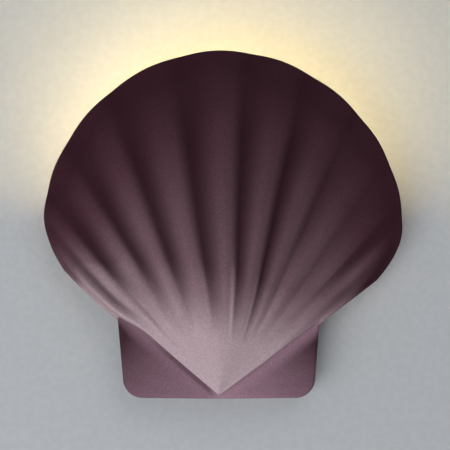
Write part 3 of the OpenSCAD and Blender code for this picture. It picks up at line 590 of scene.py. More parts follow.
def shell_paint():
    """The shell's whole material."""
    material, shader = new_material("shell_paint", Specular_IOR_Level=0.06)
    tree = material.node_tree
    x, _, z = parts_of(object_place(tree))
    sideways = x / MM
    up = z / MM - BASE_LINE
    grain = group_node(tree, grain_group, Grains_per_metre=1100.0, Softness=0.2)
    weather = group_node(tree, weather_group, Patches_per_metre=16.0, Dust=0.05)
    turn = maths("ARCTAN2", sideways, up)
    from_tip = (abs(sideways) ** 2 + up ** 2) ** 0.5
    strokes = noise(joined(turn * STROKES_ACROSS, from_tip * STROKES_ALONG, 0.0), 1.0, detail=4.0) - 0.5
    patchy = (weather["Patches"] - 0.5) * PATCH_SPAN * (PATCHES_LOW_DOWN + up / FAN_HEIGHT)
    unevenness = patchy + strokes * STROKE_SPAN
    level = fan_level(tree, sideways, up, turn) + unevenness
    tone = FAN_TONES[0][1]
    for (low, _), (high, colour) in zip(FAN_TONES, FAN_TONES[1:]):
        tone = mix_colour(tree, tone, colour, between(0.0, 1.0, (level - low) / (high - low)))
    # The grooves are darkened, partly by a darker paint and partly by painted shade
    groove_tinted_and_shaded = mix_colour(tree, tone, GROOVE_TONE, stored_fact(tree, "valley") * GROOVE_SHADE)
    # The creases are painted pale, partly a brushed tone and partly a painted highlight
    crease_share = stored_fact(tree, "crease_share") * (CREASE_COVER + strokes)
    crease_tinted_and_lit = mix_colour(tree, groove_tinted_and_shaded, CREASE_PALE_AND_HIGHLIGHT, crease_share)
    ear = ear_tone(tree, sideways, up, unevenness)
    outside = mix_colour(tree, crease_tinted_and_lit, ear, stored_fact(tree, "ear_share"))
    painted = mix_colour(tree, outside, INSIDE_TONE, stored_fact(tree, "inside"))
    sandy = scaled(painted, mix(*SAND_TONES, grain["Speckle"]))
    dusty = mix_colour(tree, sandy, DUST_COLOUR, weather["Dust"] * PAINT_DUST)
    connect(dusty, shader.inputs["Base Color"])
    connect(mix(*PAINT_ROUGHNESS, grain["Speckle"]), shader.inputs["Roughness"])
    bump_from(tree, shader, grain["Height"], PAINT_BUMP, PAINT_GRAIN_DEPTH)
    return material


paint = shell_paint()
print("nodes in the shell's paint:", len(paint.node_tree.nodes))

# %% [markdown]
# ## The shell's front sheet
# The grid's columns are the lines that run out from the tip: eleven ribs' worth of them on the fan, then a
# few for the step down beside each crease, then the ear's own. Its rows are the steps from the tip to the
# edge. A column number beyond the crease gives the crease line itself in the fan's rule, and one short of
# the ear gives the ear's first line in the ear's rule, so one mix of the two rules makes the whole sheet.
# The sizes are in millimetres, the creases in degrees off upright, and the lean in ribs.

# %% Sizes of the shell
SHELL = {
    "Fan half width": 120.8,
    "Fan height": FAN_HEIGHT,
    "Fan shift": 2.5,
    "Shoulder drop": 2.5,
    "Left crease": LEFT_CREASE,
    "Left crease sag": 6.0,
    "Right crease": RIGHT_CREASE,
    "Corner drop": 17.0,
    "Ear half width": EAR_HALF_WIDTH,
    "Ear flare": 0.08,
    "Ear corner radius": 13.0,
    "Wall": 3.5,
    "Tip height": 34.0,
    "Top rim height": 34.0,
    "Side rim height": 20.0,
    "Dome rise": 36.0,
    "Crease rise": 8.0,
    "Dome skew": 0.87,
    "Ear fall": 9.0,
    "Ear corner fall": 3.0,
    "Ribs": 11,
    "Groove depth": 4.2,
    "Outer shallow": 0.55,
    "Left spread": 1.46,
    "Right spread": 1.13,
    "Rib lean": 1.4,
    "Rim wave": 0.6,
    "Edge round": 2.5,
    "Edge band": 2.0,
    "Skirt gap": 1.5,
    "Paint": paint,
}
COLUMNS_PER_RIB = 20
STEP_COLUMNS = 6
EAR_COLUMNS = 36
ROWS = 100
# The ears' share of the reach
EAR_SHARE = 0.65
# Degrees
CREASE_DRAFT = 0.8

shell_tree, size, shell_output = new_tree("scallop_shell", SHELL)
print("named inputs of the shell's tree:", len(size))

# %% [markdown]
# The rules are the same as the CAD model's. Angles are in degrees from upright, and a rib's number counts
# from the middle one, with the left side negative. The outline is an ellipse that is lower at its shoulders
# and rounded off at its lower corners. The dome rises from the tip and falls again to the rim.

# %% Rules for angles, outline, ribs and heights
# Degrees
CORNER_SPAN = 8
DOME_SPREAD = 80
# Ribs from the middle
NARROW_FROM = 3.0
NARROW_EARLIER_RIGHT = 1.5
NARROW_FULLY = 5.0
# Plain numbers
CORNER_POWER = 3.3
RIDGE_POWER = 1.4
SHOULDER_WAVE = 3.2


def by_side(value, name):
    """The left or the right size of a pair, by the sign of a value."""
    return mix(size["Left " + name], size["Right " + name], maths("GREATER_THAN", value, 0.0))


def fan_angle(rib):
    """Angle from upright, in degrees, of the line that lies some ribs from the middle."""
    share = rib * 2 / size["Ribs"]
    spread = by_side(rib, "spread")
    return by_side(rib, "crease") * share * (spread - (spread - 1) * share * share)


def outline_radius(angle):
    """Distance from the tip to the fan's outline."""
    half_fan = size["Fan height"] / 2
    a = (sine(angle) / size["Fan half width"]) ** 2 + (cosine(angle) / half_fan) ** 2
    b = sine(angle) * size["Fan shift"] / size["Fan half width"] ** 2 + cosine(angle) / half_fan
    c = (size["Fan shift"] / size["Fan half width"]) ** 2
    corner = maths("MAXIMUM", 1 - (by_side(angle, "crease") - abs(angle)) / CORNER_SPAN, 0.0)
    shoulder = size["Shoulder drop"] * sine(angle * SHOULDER_WAVE) ** 2
    return (b + (b * b - a * c) ** 0.5) / a - shoulder - size["Corner drop"] * corner ** CORNER_POWER


def ridge(rib):
    """Height of a rib's cross-section: 1 on the ridge and 0 in the groove."""
    return abs(cosine(rib * 180)) ** RIDGE_POWER


def narrow(rib):
    """How far a rib is one of the narrow ones beside the creases. The right side has more of them."""
    on_right_side = maths("GREATER_THAN", rib, 0.0)
    return smooth(NARROW_FROM - NARROW_EARLIER_RIGHT * on_right_side, NARROW_FULLY, abs(rib))


def dome(reach, angle):
    """Distance of the dome from the wall, some share of the way from the tip to the rim."""
    off = angle / by_side(angle, "crease")
    rim = mix(size["Top rim height"], size["Side rim height"], off * off)
    rise = mix(size["Crease rise"], size["Dome rise"], cosine(off * DOME_SPREAD) ** 2)
    return mix(size["Tip height"], rim, reach) + rise * sine(reach ** size["Dome skew"] * 180)


def ear_surface(across, up):
    """Distance of an ear from the wall. It falls away outwards, and a little more at its upper corner."""
    out = abs(across) / size["Ear half width"]
    corner_fall = size["Ear corner fall"] * out * (up / size["Ear half width"]) ** 2
    return size["Tip height"] - size["Ear fall"] * out - corner_fall


print("creases, in degrees off upright:", -LEFT_CREASE, RIGHT_CREASE)


# %% [markdown]
# The fan's rule sets each point by its rib number and its reach. The grooves fade in between a seventh and
# two fifths of the way up, the outer ones a little later, as on a real scallop. The lines right of the
# middle lean over a little near the tip, as in the photograph.

# %% The fan's and the ear's rules
# Shares of the reach, but for the share of the depth that is lost at the rim
GROOVE_START = 0.15
GROOVE_FULL = 0.42
GROOVE_LATER = 0.15
NEAR_RIM = (0.7, 1.0)
LOST_AT_RIM = 0.5


def fan_place(rib, reach):
    """A point on the fan: how far across, above the tip's row and off the wall."""
    leaning = band((-1.5, 1.0), (1.0, 5.0), rib)
    lean = size["Rib lean"] * (1 - reach) ** 3 * leaning
    angle = fan_angle(rib + lean)
    straight = fan_angle(rib)
    last_rib = size["Ribs"] / 2
    wave = size["Rim wave"] * (1 - ridge(rib)) * (1 - smooth(last_rib - 1, last_rib, abs(rib)))
    radius = reach * (outline_radius(straight) - size["Edge round"] * (1 + cosine(straight)) - wave)
    fading_in = smooth(GROOVE_START, GROOVE_FULL, reach - GROOVE_LATER * narrow(rib))
    fading = fading_in * (1 - LOST_AT_RIM * smooth(*NEAR_RIM, reach))
    groove = size["Groove depth"] * (1 - ridge(rib)) * (1 - size["Outer shallow"] * narrow(rib)) * fading
    return radius * sine(angle), radius * cosine(angle), dome(reach, angle) - groove


def ear_place(side, line, reach):
    """A point on an ear: line goes from the crease (0) round the corner to the base line (1)."""
    half = size["Ear half width"] - size["Edge round"]
    radius = size["Ear corner radius"] - size["Edge round"]
    top = half / (tangent(by_side(side, "crease") + CREASE_DRAFT) - size["Ear flare"])
    level = mix(top, radius, maths("MINIMUM", line * 2, 1.0))
    turn = maths("MAXIMUM", line * 2 - 1, 0.0) * 90
    out = half + size["Ear flare"] * level - radius * (1 - cosine(turn))
    up = (level - radius * sine(turn)) * reach
    across = side * out * reach
    return across, up, ear_surface(across, up)


def as_vector(across, up, height):
    """A point in Blender's metres from millimetres across, above the tip's row and off the wall."""
    return joined(across * MM, height * -MM, (up + size["Edge round"] + BASE_LINE) * MM)


print("nodes in the shell's tree before it is put together:", len(shell_tree.nodes))


# %% [markdown]
# The front sheet is the bent grid. A point's column and reach are stored on it first, so that every rule
# can read them, also after the point has moved. In the photograph the left crease sags a few millimetres
# just before its notch, so the points near it are let down there.

# %% Bend the grid
# Millimetres across, then above or below the crease, and a share
SAG_BEGINS = (-45.0, -74.0)
SAG_EASES = (-84.0, -116.0)
SAG_HEIGHTS = (2.0, 45.0)
SAG_EASED_BY = 0.6

fan_columns = SHELL["Ribs"] * COLUMNS_PER_RIB // 2
half_columns = fan_columns + STEP_COLUMNS + EAR_COLUMNS
grid = node_step(shell_tree, "GeometryNodeMeshGrid", inputs={
    "Size X": 2.0 * half_columns, "Size Y": 1.0, "Vertices X": 2 * half_columns + 1, "Vertices Y": ROWS + 1})
position = Field(shell_tree.nodes.new("GeometryNodeInputPosition").outputs[0])
grid_x, grid_y, _ = parts_of(position)


def stored(geometry, name, value, kind="FLOAT"):
    """Stores a fact on the points under a name."""
    node = node_step(shell_tree, "GeometryNodeStoreNamedAttribute", geometry, data_type=kind, domain="POINT")
    node.inputs["Name"].default_value = name
    connect(value, next(socket for socket in node.inputs if socket.name == "Value" and socket.enabled))
    return node.outputs[0]


def recalled(name, kind="FLOAT"):
    """Reads a stored fact."""
    node = node_step(shell_tree, "GeometryNodeInputNamedAttribute", data_type=kind)
    node.inputs["Name"].default_value = name
    return Field(next(socket for socket in node.outputs if socket.name == "Attribute" and socket.enabled))


sheet = stored(grid.outputs["Mesh"], "column", grid_x)
sheet = stored(sheet, "reach", grid_y + 0.5)
column = recalled("column")
reach = recalled("reach")
off_fan = abs(column) - fan_columns
last_line = SHELL["Ribs"] / 2
rib = between(-last_line, last_line, column / COLUMNS_PER_RIB)
ear_line = between(0.0, 1.0, (off_fan - STEP_COLUMNS) / EAR_COLUMNS)
ear_mix = between(0.0, 1.0, off_fan / STEP_COLUMNS)
ear_height_mix = smooth(0.0, 1.0, ear_mix)
on_fan = fan_place(rib, reach)
on_ear = ear_place(maths("SIGN", column), ear_line, reach / EAR_SHARE)
across = mix(on_fan[0], on_ear[0], ear_mix)
up = mix(on_fan[1], on_ear[1], ear_mix)
height = mix(on_fan[2], on_ear[2], ear_height_mix)
above_crease = up - abs(across) / tangent(size["Left crease"])
along_crease = smooth(*SAG_BEGINS, across) * (1 - SAG_EASED_BY * smooth(*SAG_EASES, across))
up = up - size["Left crease sag"] * along_crease * (1 - smooth(*SAG_HEIGHTS, abs(above_crease)))
print("the front sheet's grid:", 2 * half_columns, "columns,", ROWS, "rows")

# %% [markdown]
# The grooves' darkening is a fact of its own, "valley", because in the photograph it differs
# from groove to groove. It is partly a darker paint in the grooves and partly painted shade, deeper than the
# shallow relief casts. Right of each groove it thins out slowly, and it comes back quickly before the next
# one, which is painted shade as from a light on the left. Its bands are narrower at both ends of the fan,
# and the leftmost is moved inwards, because the sag carries the relief outwards there. The darkening begins
# at different heights, is fainter on the right and stops at the creases. Two grooves right of the middle
# have a thin painted highlight on their left bank, the fact "pale_line". Places across the fan are in
# ribs from the middle, and places along a rib are shares of the way from the tip to the rim.

# %% Where the grooves' paint and painted shade lie
# Shares of a rib's width
PAINT_LEAD = 0.53
SAG_SHIFT = 0.22
THINS_OVER = 0.6
ENDS_NARROWER = 0.25
BACK_FROM = 0.72
BACK_EARLIER_RIGHT = 0.34
BACK_EARLIER_LEFT = 0.42
BACK_LATER_AT_TIP = 0.14
FULL_EARLIER_RIGHT = 0.36
# Reaches, and a share
PAINT_START = (0.22, 0.48)
PAINT_NEAR_RIM = (0.75, 1.0)
PAINT_LOST_AT_RIM = 0.5

right_faint = smooth(1.8, 2.6, rib)
faint = maths("MAXIMUM", right_faint * 0.8, narrow(rib))
on_right = smooth(-0.5, 0.5, rib)
left_end = smooth(-3.95, -4.15, rib)
right_end = smooth(4.1, 4.5, rib)
by_crease = smooth(0.0, 0.4, abs(rib) - last_line + mix(0.4, 0.3, on_right)) * (1 - ear_mix)
near_tip = 1 - smooth(0.32, 0.46, reach)

# The slow thinning right of each groove is painted shade, as from a light on the left
past_groove = maths("FRACT", rib + PAINT_LEAD - SAG_SHIFT * left_end)
thinned = smooth(0.0, THINS_OVER - ENDS_NARROWER * (right_end + left_end), past_groove)
thinned = maths("MAXIMUM", thinned, smooth(-4.8, -5.0, rib))
back_from = BACK_FROM - BACK_EARLIER_RIGHT * right_end - BACK_EARLIER_LEFT * left_end
back_from = back_from + BACK_LATER_AT_TIP * near_tip
back = smooth(back_from, 1.0 - FULL_EARLIER_RIGHT * right_end, past_groove)

left_late = band((-1.6, -3.5), (-3.7, -4.4), rib)
middle_early = band((-1.2, -0.3), (1.7, 2.2), rib)
later = faint * 0.2 + right_end * 0.08 + left_late * 0.17 - middle_early * 0.08
groove_start = smooth(*PAINT_START, reach - later)
groove_end = 1 - PAINT_LOST_AT_RIM * smooth(*PAINT_NEAR_RIM, reach)
valley = (1 - thinned * (1 - back)) * groove_start * groove_end

plain_groove = band((2.9, 3.3), (3.8, 4.2), rib)
beside_right_crease = smooth(4.75, 5.0, rib)
strength = 1 - 0.35 * right_faint - 0.25 * plain_groove - 0.25 * beside_right_crease - 0.2 * left_end
sheet = stored(sheet, "valley", valley * strength * (1 - by_crease) * (1 - ear_mix))

# A thin painted highlight on the left bank of two grooves right of the middle
bank = band((0.68, 0.8), (0.84, 0.94), past_groove)
lined_ribs = band((-0.2, 0.1), (1.5, 1.7), rib) * (1 - 0.6 * smooth(0.5, 0.8, rib))
sheet = stored(sheet, "pale_line", bank * lined_ribs * near_tip * smooth(0.16, 0.24, reach))
print("nodes with the paint's facts:", len(shell_tree.nodes))

# %% [markdown]
# Three more facts are stored: how far the crease is painted pale, partly as a brushed tone and partly as a
# painted highlight, how far a point belongs to an ear, and where the sheet behind it lies. That one is the
# front sheet set back by the wall's thickness, with the step beside each crease filled in, as metal would
# flow there in the mould. Then the points move to their places, and the faces that lie beyond the ears are
# deleted.

# %% Grow the front sheet
# Millimetres, a share, and metres
CENTRE_UP = 100.0
SHRINK = 0.991
WELD = 1e-6

fading = smooth(mix(0.62, 0.55, on_right), mix(1.0, 0.95, on_right), reach)
sheet = stored(sheet, "crease_share", by_crease * (1 - fading))
sheet = stored(sheet, "ear_share", maths("MAXIMUM", ear_height_mix, 1 - smooth(0.0, 0.01, reach)))
fill = (1 - between(0.0, 1.0, off_fan * (-2 / COLUMNS_PER_RIB))) * (1 - smooth(0.6, 0.8, reach))
behind = mix(height, maths("MINIMUM", ear_surface(across, up), height), fill) - size["Wall"]
place_behind = as_vector(across * SHRINK, CENTRE_UP + (up - CENTRE_UP) * SHRINK, behind)
sheet = stored(sheet, "behind", place_behind, "FLOAT_VECTOR")
place_in_front = as_vector(across, up, height)
bent = node_step(shell_tree, "GeometryNodeSetPosition", sheet, {"Position": place_in_front})
off_the_fan = maths("GREATER_THAN", abs(column), fan_columns + 0.01)
beyond_ear = {"Selection": off_the_fan * maths("GREATER_THAN", reach, EAR_SHARE)}
kept = node_step(shell_tree, "GeometryNodeDeleteGeometry", bent.outputs[0], beyond_ear, domain="FACE")
welded = node_step(shell_tree, "GeometryNodeMergeByDistance", kept.outputs[0], {"Distance": WELD})
print("nodes with the front sheet:", len(shell_tree.nodes))

# %% [markdown]
# An edge of the mesh lies on the shell's edge if only one face touches it. Each such edge looks outwards,
# away from the shell's middle. Points take the average of their edges, worked out on the edges first.

# %% Mark the sheet's edge and its outward direction
face_count = Field(shell_tree.nodes.new("GeometryNodeInputMeshEdgeNeighbors").outputs["Face Count"])
is_border = maths("COMPARE", face_count, 1.0, 0.1)
ends = shell_tree.nodes.new("GeometryNodeInputMeshEdgeVertices")
first_end = Field(ends.outputs["Position 1"])
second_end = Field(ends.outputs["Position 2"])
sideways = vector_maths("CROSS_PRODUCT", vector_maths("SUBTRACT", second_end, first_end), (0, 1, 0))
from_middle = vector_maths("SUBTRACT", first_end, (0, 0, (CENTRE_UP + BASE_LINE) * MM))
turned = maths("SIGN", vector_maths("DOT_PRODUCT", sideways, from_middle)) * is_border
on_edges = node_step(shell_tree, "GeometryNodeFieldOnDomain", data_type="FLOAT_VECTOR", domain="EDGE")
connect(scaled(vector_maths("NORMALIZE", sideways), turned), on_edges.inputs[0])
outward = vector_maths("NORMALIZE", Field(on_edges.outputs[0]))
marked = stored(welded.outputs[0], "outward", outward, "FLOAT_VECTOR")
marked = stored(marked, "front", position, "FLOAT_VECTOR")
print("nodes with the marked edge:", len(shell_tree.nodes))

# %% [markdown]
# The edge of the casting is rounded in front, plain behind, and turned in. Each step pulls a new row of
# points out of the last one and sets its place from the stored facts: first a quarter circle, then the band
# on the fan or the deep skirt round the ears, then the narrow back face with two small bevels, and at last
# the border of the sheet behind, where the two sheets are welded into one closed wall.

# %% Round the edge and close the wall
ROUND_STEPS = 6
# Millimetres
BEVEL = 0.7
BEVEL_MIDDLE = 0.3 * BEVEL


def edge_place(out, sink=None, lift=None):
    """A place beside the front edge: sunk below it, or lifted off the back edge, in millimetres."""
    front = recalled("front", "FLOAT_VECTOR")
    moved = vector_maths("ADD", front, scaled(recalled("outward", "FLOAT_VECTOR"), out * MM))
    x, y, z = parts_of(moved)
    if lift is None:
        return joined(x, y + sink * MM, z)
    fan_back = y + (size["Edge round"] + size["Edge band"]) * MM
    return joined(x, mix(fan_back, size["Skirt gap"] * -MM, recalled("ear_share")) - lift * MM, z)


outer = size["Edge round"]
inner = outer - size["Wall"]
places = []
for quarter in range(1, ROUND_STEPS + 1):
    angle = math.radians(90 * quarter / ROUND_STEPS)
    places.append(edge_place(outer * math.sin(angle), sink=outer * (1 - math.cos(angle))))
for out, lift in ((outer, BEVEL), (outer - BEVEL_MIDDLE, BEVEL_MIDDLE), (outer - BEVEL, 0.0),
                  (inner + BEVEL, 0.0), (inner + BEVEL_MIDDLE, BEVEL_MIDDLE), (inner, BEVEL)):
    places.append(edge_place(out, lift=lift))
places.append(recalled("behind", "FLOAT_VECTOR"))

body = marked
selection = is_border
for place in places:
    row = {"Selection": selection, "Offset Scale": 0.0}
    pulled = node_step(shell_tree, "GeometryNodeExtrudeMesh", body, row, mode="EDGES")
    selection = Field(pulled.outputs["Top"])
    new_row = {"Selection": selection, "Position": place}
    body = node_step(shell_tree, "GeometryNodeSetPosition", pulled.outputs["Mesh"], new_row).outputs[0]

inside = stored(marked, "inside", 1.0)
set_back = {"Position": recalled("behind", "FLOAT_VECTOR")}
back_sheet = node_step(shell_tree, "GeometryNodeSetPosition", inside, set_back)
turned_sheet = node_step(shell_tree, "GeometryNodeFlipFaces", back_sheet.outputs[0])
both = node_step(shell_tree, "GeometryNodeJoinGeometry", body)
shell_tree.links.new(turned_sheet.outputs[0], both.inputs[0])
closed = node_step(shell_tree, "GeometryNodeMergeByDistance", both.outputs[0], {"Distance": WELD})
smoothed = node_step(shell_tree, "GeometryNodeSetShadeSmooth", closed.outputs[0])
realized = node_step(shell_tree, "GeometryNodeRealizeInstances", smoothed.outputs[0])
coloured = node_step(shell_tree, "GeometryNodeSetMaterial", realized.outputs[0], {"Material": size["Paint"]})
shell_tree.links.new(coloured.outputs[0], shell_output.inputs[0])
shell = grown_mesh("shell", shell_tree, SHELL)


def open_edge_count(piece):
    """How many edges of a mesh don't lie between exactly two faces."""
    form = bmesh.new()
    form.from_mesh(piece.data)
    found = sum(1 for edge in form.edges if len(edge.link_faces) != 2)
    form.free()
    return found


def report(label, piece):
    """Prints how many faces a piece has, and whether its mesh is closed."""
    print(label, "faces:", len(piece.data.polygons), "open edges:", open_edge_count(piece))


report("shell", shell)

# %% [markdown]
# ## Pillars and holes
# Behind the front, two pillars grow out of the casting, and the studs that hook over the hanger bar screw
# into them. Each pillar is a stack of rings whose last ones flare out to the wall, like the fillet that a
# foundry leaves. Rays sent forwards find how far away the wall is at each point of a ring. The pillars are
# then joined to the wall, and screw holes and weep holes drilled through its underside, by Booleans on the
# closed mesh.

# %% Pillars that meet the wall
# Millimetres
PILLAR_X = 22.0
PILLAR_UP = 48.0
PILLAR_START = 26.0
PILLAR_RADIUS = 5.0
PILLAR_EASE = 0.5
BORE_RADIUS = 1.55
BORE_DEPTH = 12.0
BORE_EASE = 0.4
FLARE = 2.5
FLARE_HEIGHT = 4.0
INTO_WALL = 1.5
# Counts
FLARE_STEPS = 6
AROUND = 48


def ring_stack(form, rings):
    """Joins rings of points with faces and closes both ends. Each ring has the same number of points."""
    rows = [[form.verts.new(point) for point in ring] for ring in rings]
    for row, following in zip(rows, rows[1:]):
        for k in range(len(row)):
            after = (k + 1) % len(row)
            form.faces.new((row[k], row[after], following[after], following[k]))
    form.faces.new(list(reversed(rows[0])))
    form.faces.new(rows[-1])


def pillar_rings(side, wall_tree):
    """The rings of one pillar, from the bottom of its bore out and up to the wall."""
    middle = Vector((side * PILLAR_X, 0, BASE_LINE + PILLAR_UP))

    def ring(radius, height=None, below_wall=0.0):
        points = []
        for k in range(AROUND):
            turn = 2 * math.pi * k / AROUND
            start = (middle + Vector((radius * math.cos(turn), -PILLAR_START, radius * math.sin(turn)))) * MM
            if height is None:
                hit = wall_tree.ray_cast(start, Vector((0, -1, 0)))[0]
                start.y = hit.y + below_wall * MM
            else:
                start.y = -height * MM
            points.append(start)
        return points

    rings = [ring(BORE_RADIUS, PILLAR_START + BORE_DEPTH), ring(BORE_RADIUS, PILLAR_START + BORE_EASE)]
    rings += [ring(BORE_RADIUS + BORE_EASE, PILLAR_START), ring(PILLAR_RADIUS - PILLAR_EASE, PILLAR_START)]
    rings += [ring(PILLAR_RADIUS, PILLAR_START + PILLAR_EASE)]
    for step in range(FLARE_STEPS + 1):
        quarter = math.radians(90 * step / FLARE_STEPS)
        wider = FLARE * (1 - math.cos(quarter))
        rings.append(ring(PILLAR_RADIUS + wider, below_wall=FLARE_HEIGHT * (1 - math.sin(quarter))))
    rings.append(ring(PILLAR_RADIUS + FLARE, below_wall=-INTO_WALL))
    return rings


def mesh_piece(name, form):
    """Turns a bmesh into an object, with its normals facing outwards."""
    bmesh.ops.recalc_face_normals(form, faces=form.faces)
    mesh = bpy.data.meshes.new(name)
    form.to_mesh(mesh)
    form.free()
    return placed(name, mesh)


wall_tree = BVHTree.FromObject(shell, bpy.context.evaluated_depsgraph_get())
pillar_form = bmesh.new()
for side in (-1, 1):
    ring_stack(pillar_form, pillar_rings(side, wall_tree))
pillars = mesh_piece("pillars", pillar_form)
report("pillars", pillars)

# %% [markdown]
# A Boolean gives its new corners no facts, so the paint would show streaks round the holes. Each corner of
# the drilled shell therefore takes its facts from the nearest corner of the undrilled one.

# %% Join the pillars and drill the underside
# Millimetres
HOLE_OFF_WALL = 10.0
SHELL_SCREW_X = 26.0
WEEP_X = 42.0
SHELL_SCREW_HOLE = 5.5
WEEP_HOLE = 4.0
HEAD_SINK = 2.3
OVERSHOOT = 0.5
DRILL_FROM = -1
DRILL_TO = 5
FACTS = ("reach", "valley", "pale_line", "crease_share", "ear_share", "inside")


def drill(form, x, low_radius, high_radius, low, high):
    """Adds an upright cone or cylinder between two heights above the base line, in millimetres."""
    middle = Matrix.Translation(Vector((x, -HOLE_OFF_WALL, BASE_LINE + (low + high) / 2)) * MM)
    bmesh.ops.create_cone(form, cap_ends=True, segments=AROUND, matrix=middle, depth=(high - low) * MM,
                          radius1=low_radius * MM, radius2=high_radius * MM)


def combine(piece, tool, operation):
    """Applies one Boolean to a piece's mesh and removes the tool."""
    step = piece.modifiers.new(operation, "BOOLEAN")
    step.object = tool
    step.operation = operation
    step.solver = "MANIFOLD"
    result = evaluated_mesh(piece)
    piece.modifiers.clear()
    piece.data = result
    bpy.data.objects.remove(tool)


uncut = kdtree.KDTree(len(shell.data.vertices))
for number, vertex in enumerate(shell.data.vertices):
    uncut.insert(vertex.co, number)
uncut.balance()
facts = {name: [item.value for item in shell.data.attributes[name].data] for name in FACTS}

combine(shell, pillars, "UNION")
weep_hole = WEEP_HOLE / 2
screw_hole = SHELL_SCREW_HOLE / 2
cone_mouth = screw_hole + HEAD_SINK + OVERSHOOT
for side in (-1, 1):
    weep_form, hole_form, cone_form = bmesh.new(), bmesh.new(), bmesh.new()
    drill(weep_form, side * WEEP_X, weep_hole, weep_hole, DRILL_FROM, DRILL_TO)
    drill(hole_form, side * SHELL_SCREW_X, screw_hole, screw_hole, DRILL_FROM, DRILL_TO)
    drill(cone_form, side * SHELL_SCREW_X, cone_mouth, screw_hole, -OVERSHOOT, HEAD_SINK)
    for form in (weep_form, hole_form, cone_form):
        combine(shell, mesh_piece("drill", form), "DIFFERENCE")
nearest = [uncut.find(vertex.co)[1] for vertex in shell.data.vertices]
for name, values in facts.items():
    if name in shell.data.attributes:
        shell.data.attributes.remove(shell.data.attributes[name])
    carried = shell.data.attributes.new(name, "FLOAT", "POINT")
    carried.data.foreach_set("value", [values[number] for number in nearest])
shell.data.set_sharp_from_angle(angle=math.radians(50))
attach(shell, "root")
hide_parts("shell_cover")
report("shell with pillars and holes", shell)

# %% [markdown]
# ## Finishes of the hidden pieces
# Behind the shell, the housing is a grey powder-coated casting with rubber seals. Inside it are the
# plastics that any such light has. Each finish starts from the base above.

# %% Housing, rubber and plastics
FINISHES = {
    "cast_housing": dict(
        dark=(0.105, 0.107, 0.112), light=(0.150, 0.152, 0.158), rough=(0.45, 0.60), grains=1100.0,
        bump=0.35, depth=0.0003, Coat_Weight=0.1, Coat_Roughness=0.35),
    "black_rubber": dict(
        dark=(0.020, 0.020, 0.021), light=(0.040, 0.039, 0.038), rough=(0.70, 0.85), grains=1600.0,
        bump=0.15),
    "grey_silicone": dict(
        dark=(0.16, 0.165, 0.17), light=(0.22, 0.22, 0.225), rough=(0.55, 0.70), grains=1400.0,
        bump=0.10),
    "terminal_plastic": dict(
        dark=(0.66, 0.63, 0.54), light=(0.76, 0.74, 0.66), rough=(0.40, 0.50), grains=2200.0,
        bump=0.06, dust=0.1),
    "driver_plastic": dict(
        dark=(0.70, 0.70, 0.68), light=(0.80, 0.80, 0.78), rough=(0.45, 0.60), grains=2000.0,
        bump=0.12, dust=0.1),
    "board_white": dict(
        dark=(0.78, 0.78, 0.75), light=(0.88, 0.88, 0.85), rough=(0.25, 0.35), grains=3000.0,
        bump=0.03, dust=0.0, Coat_Weight=0.3),
    "supply_insulation": dict(
        dark=(0.12, 0.055, 0.025), light=(0.17, 0.08, 0.04), rough=(0.40, 0.50), grains=2500.0,
        bump=0.04, dust=0.0),
    "output_insulation": dict(
        dark=(0.42, 0.035, 0.025), light=(0.52, 0.06, 0.04), rough=(0.40, 0.50), grains=2500.0,
        bump=0.04, dust=0.0),
}
finishes = {name: finish(name, **settings) for name, settings in FINISHES.items()}
print("finishes:", ", ".join(finishes))

# %% [markdown]
# Most screws and the studs are plain steel, the hanger bar is zinc-plated, and the terminals' clamp screws
# and the earth screw are brass. All three metals have fine drawn lines.

# %% Bare metals
METALS = {
    "steel_screws": dict(dark=(0.52, 0.52, 0.53), light=(0.66, 0.66, 0.67)),
    "zinc_steel": dict(dark=(0.50, 0.52, 0.55), light=(0.64, 0.65, 0.66), rough=(0.35, 0.5)),
    "brass_fittings": dict(dark=(0.66, 0.46, 0.17), light=(0.80, 0.60, 0.27)),
}
finishes.update({name: metal_finish(name, **settings) for name, settings in METALS.items()})
print("metals:", ", ".join(METALS))

# %% [markdown]
# The earth lead is green with a yellow stripe. The stripe follows a wave across Object coordinates, and the
# mix of the two colours feeds the same kind of shader as the other leads.

# %% Earth lead's stripes
EARTH_GREEN = (0.06, 0.24, 0.05)
EARTH_YELLOW = (0.72, 0.60, 0.05)
STRIPES_PER_METRE = 260.0

earth_material, earth_shader = new_material("earth_insulation", Roughness=0.45)
earth_tree = earth_material.node_tree
wave = earth_tree.nodes.new("ShaderNodeTexWave")
wave.inputs["Scale"].default_value = STRIPES_PER_METRE
connect(object_place(earth_tree), wave.inputs["Vector"])
stripe = smooth(0.45, 0.55, Field(wave.outputs["Fac"]))
connect(mix_colour(earth_tree, EARTH_GREEN, EARTH_YELLOW, stripe), earth_shader.inputs["Base Color"])
finishes["earth_insulation"] = earth_material
print("nodes in the earth lead's finish:", len(earth_tree.nodes))

# %% [markdown]
# ## The light itself
# The photograph shows the lamp lit. The chips glow a warm white, and the frosted lens spreads that glow, so
# the wall above the shell and at its sides lights up by itself. The lens shines most over the chips and
# less towards its ends. Both are ordinary Principled shaders with emission.

# %% Lit lens and chips
WARM_WHITE = (1.0, 0.77, 0.36)
LAMP_EDGE = (0.02, 0.015, 0.01)
LENS_GLOW = 900.0
# Shares of the half length and of the glow
FULL_GLOW_SHARE = 0.55
GLOW_LOSS = 0.75


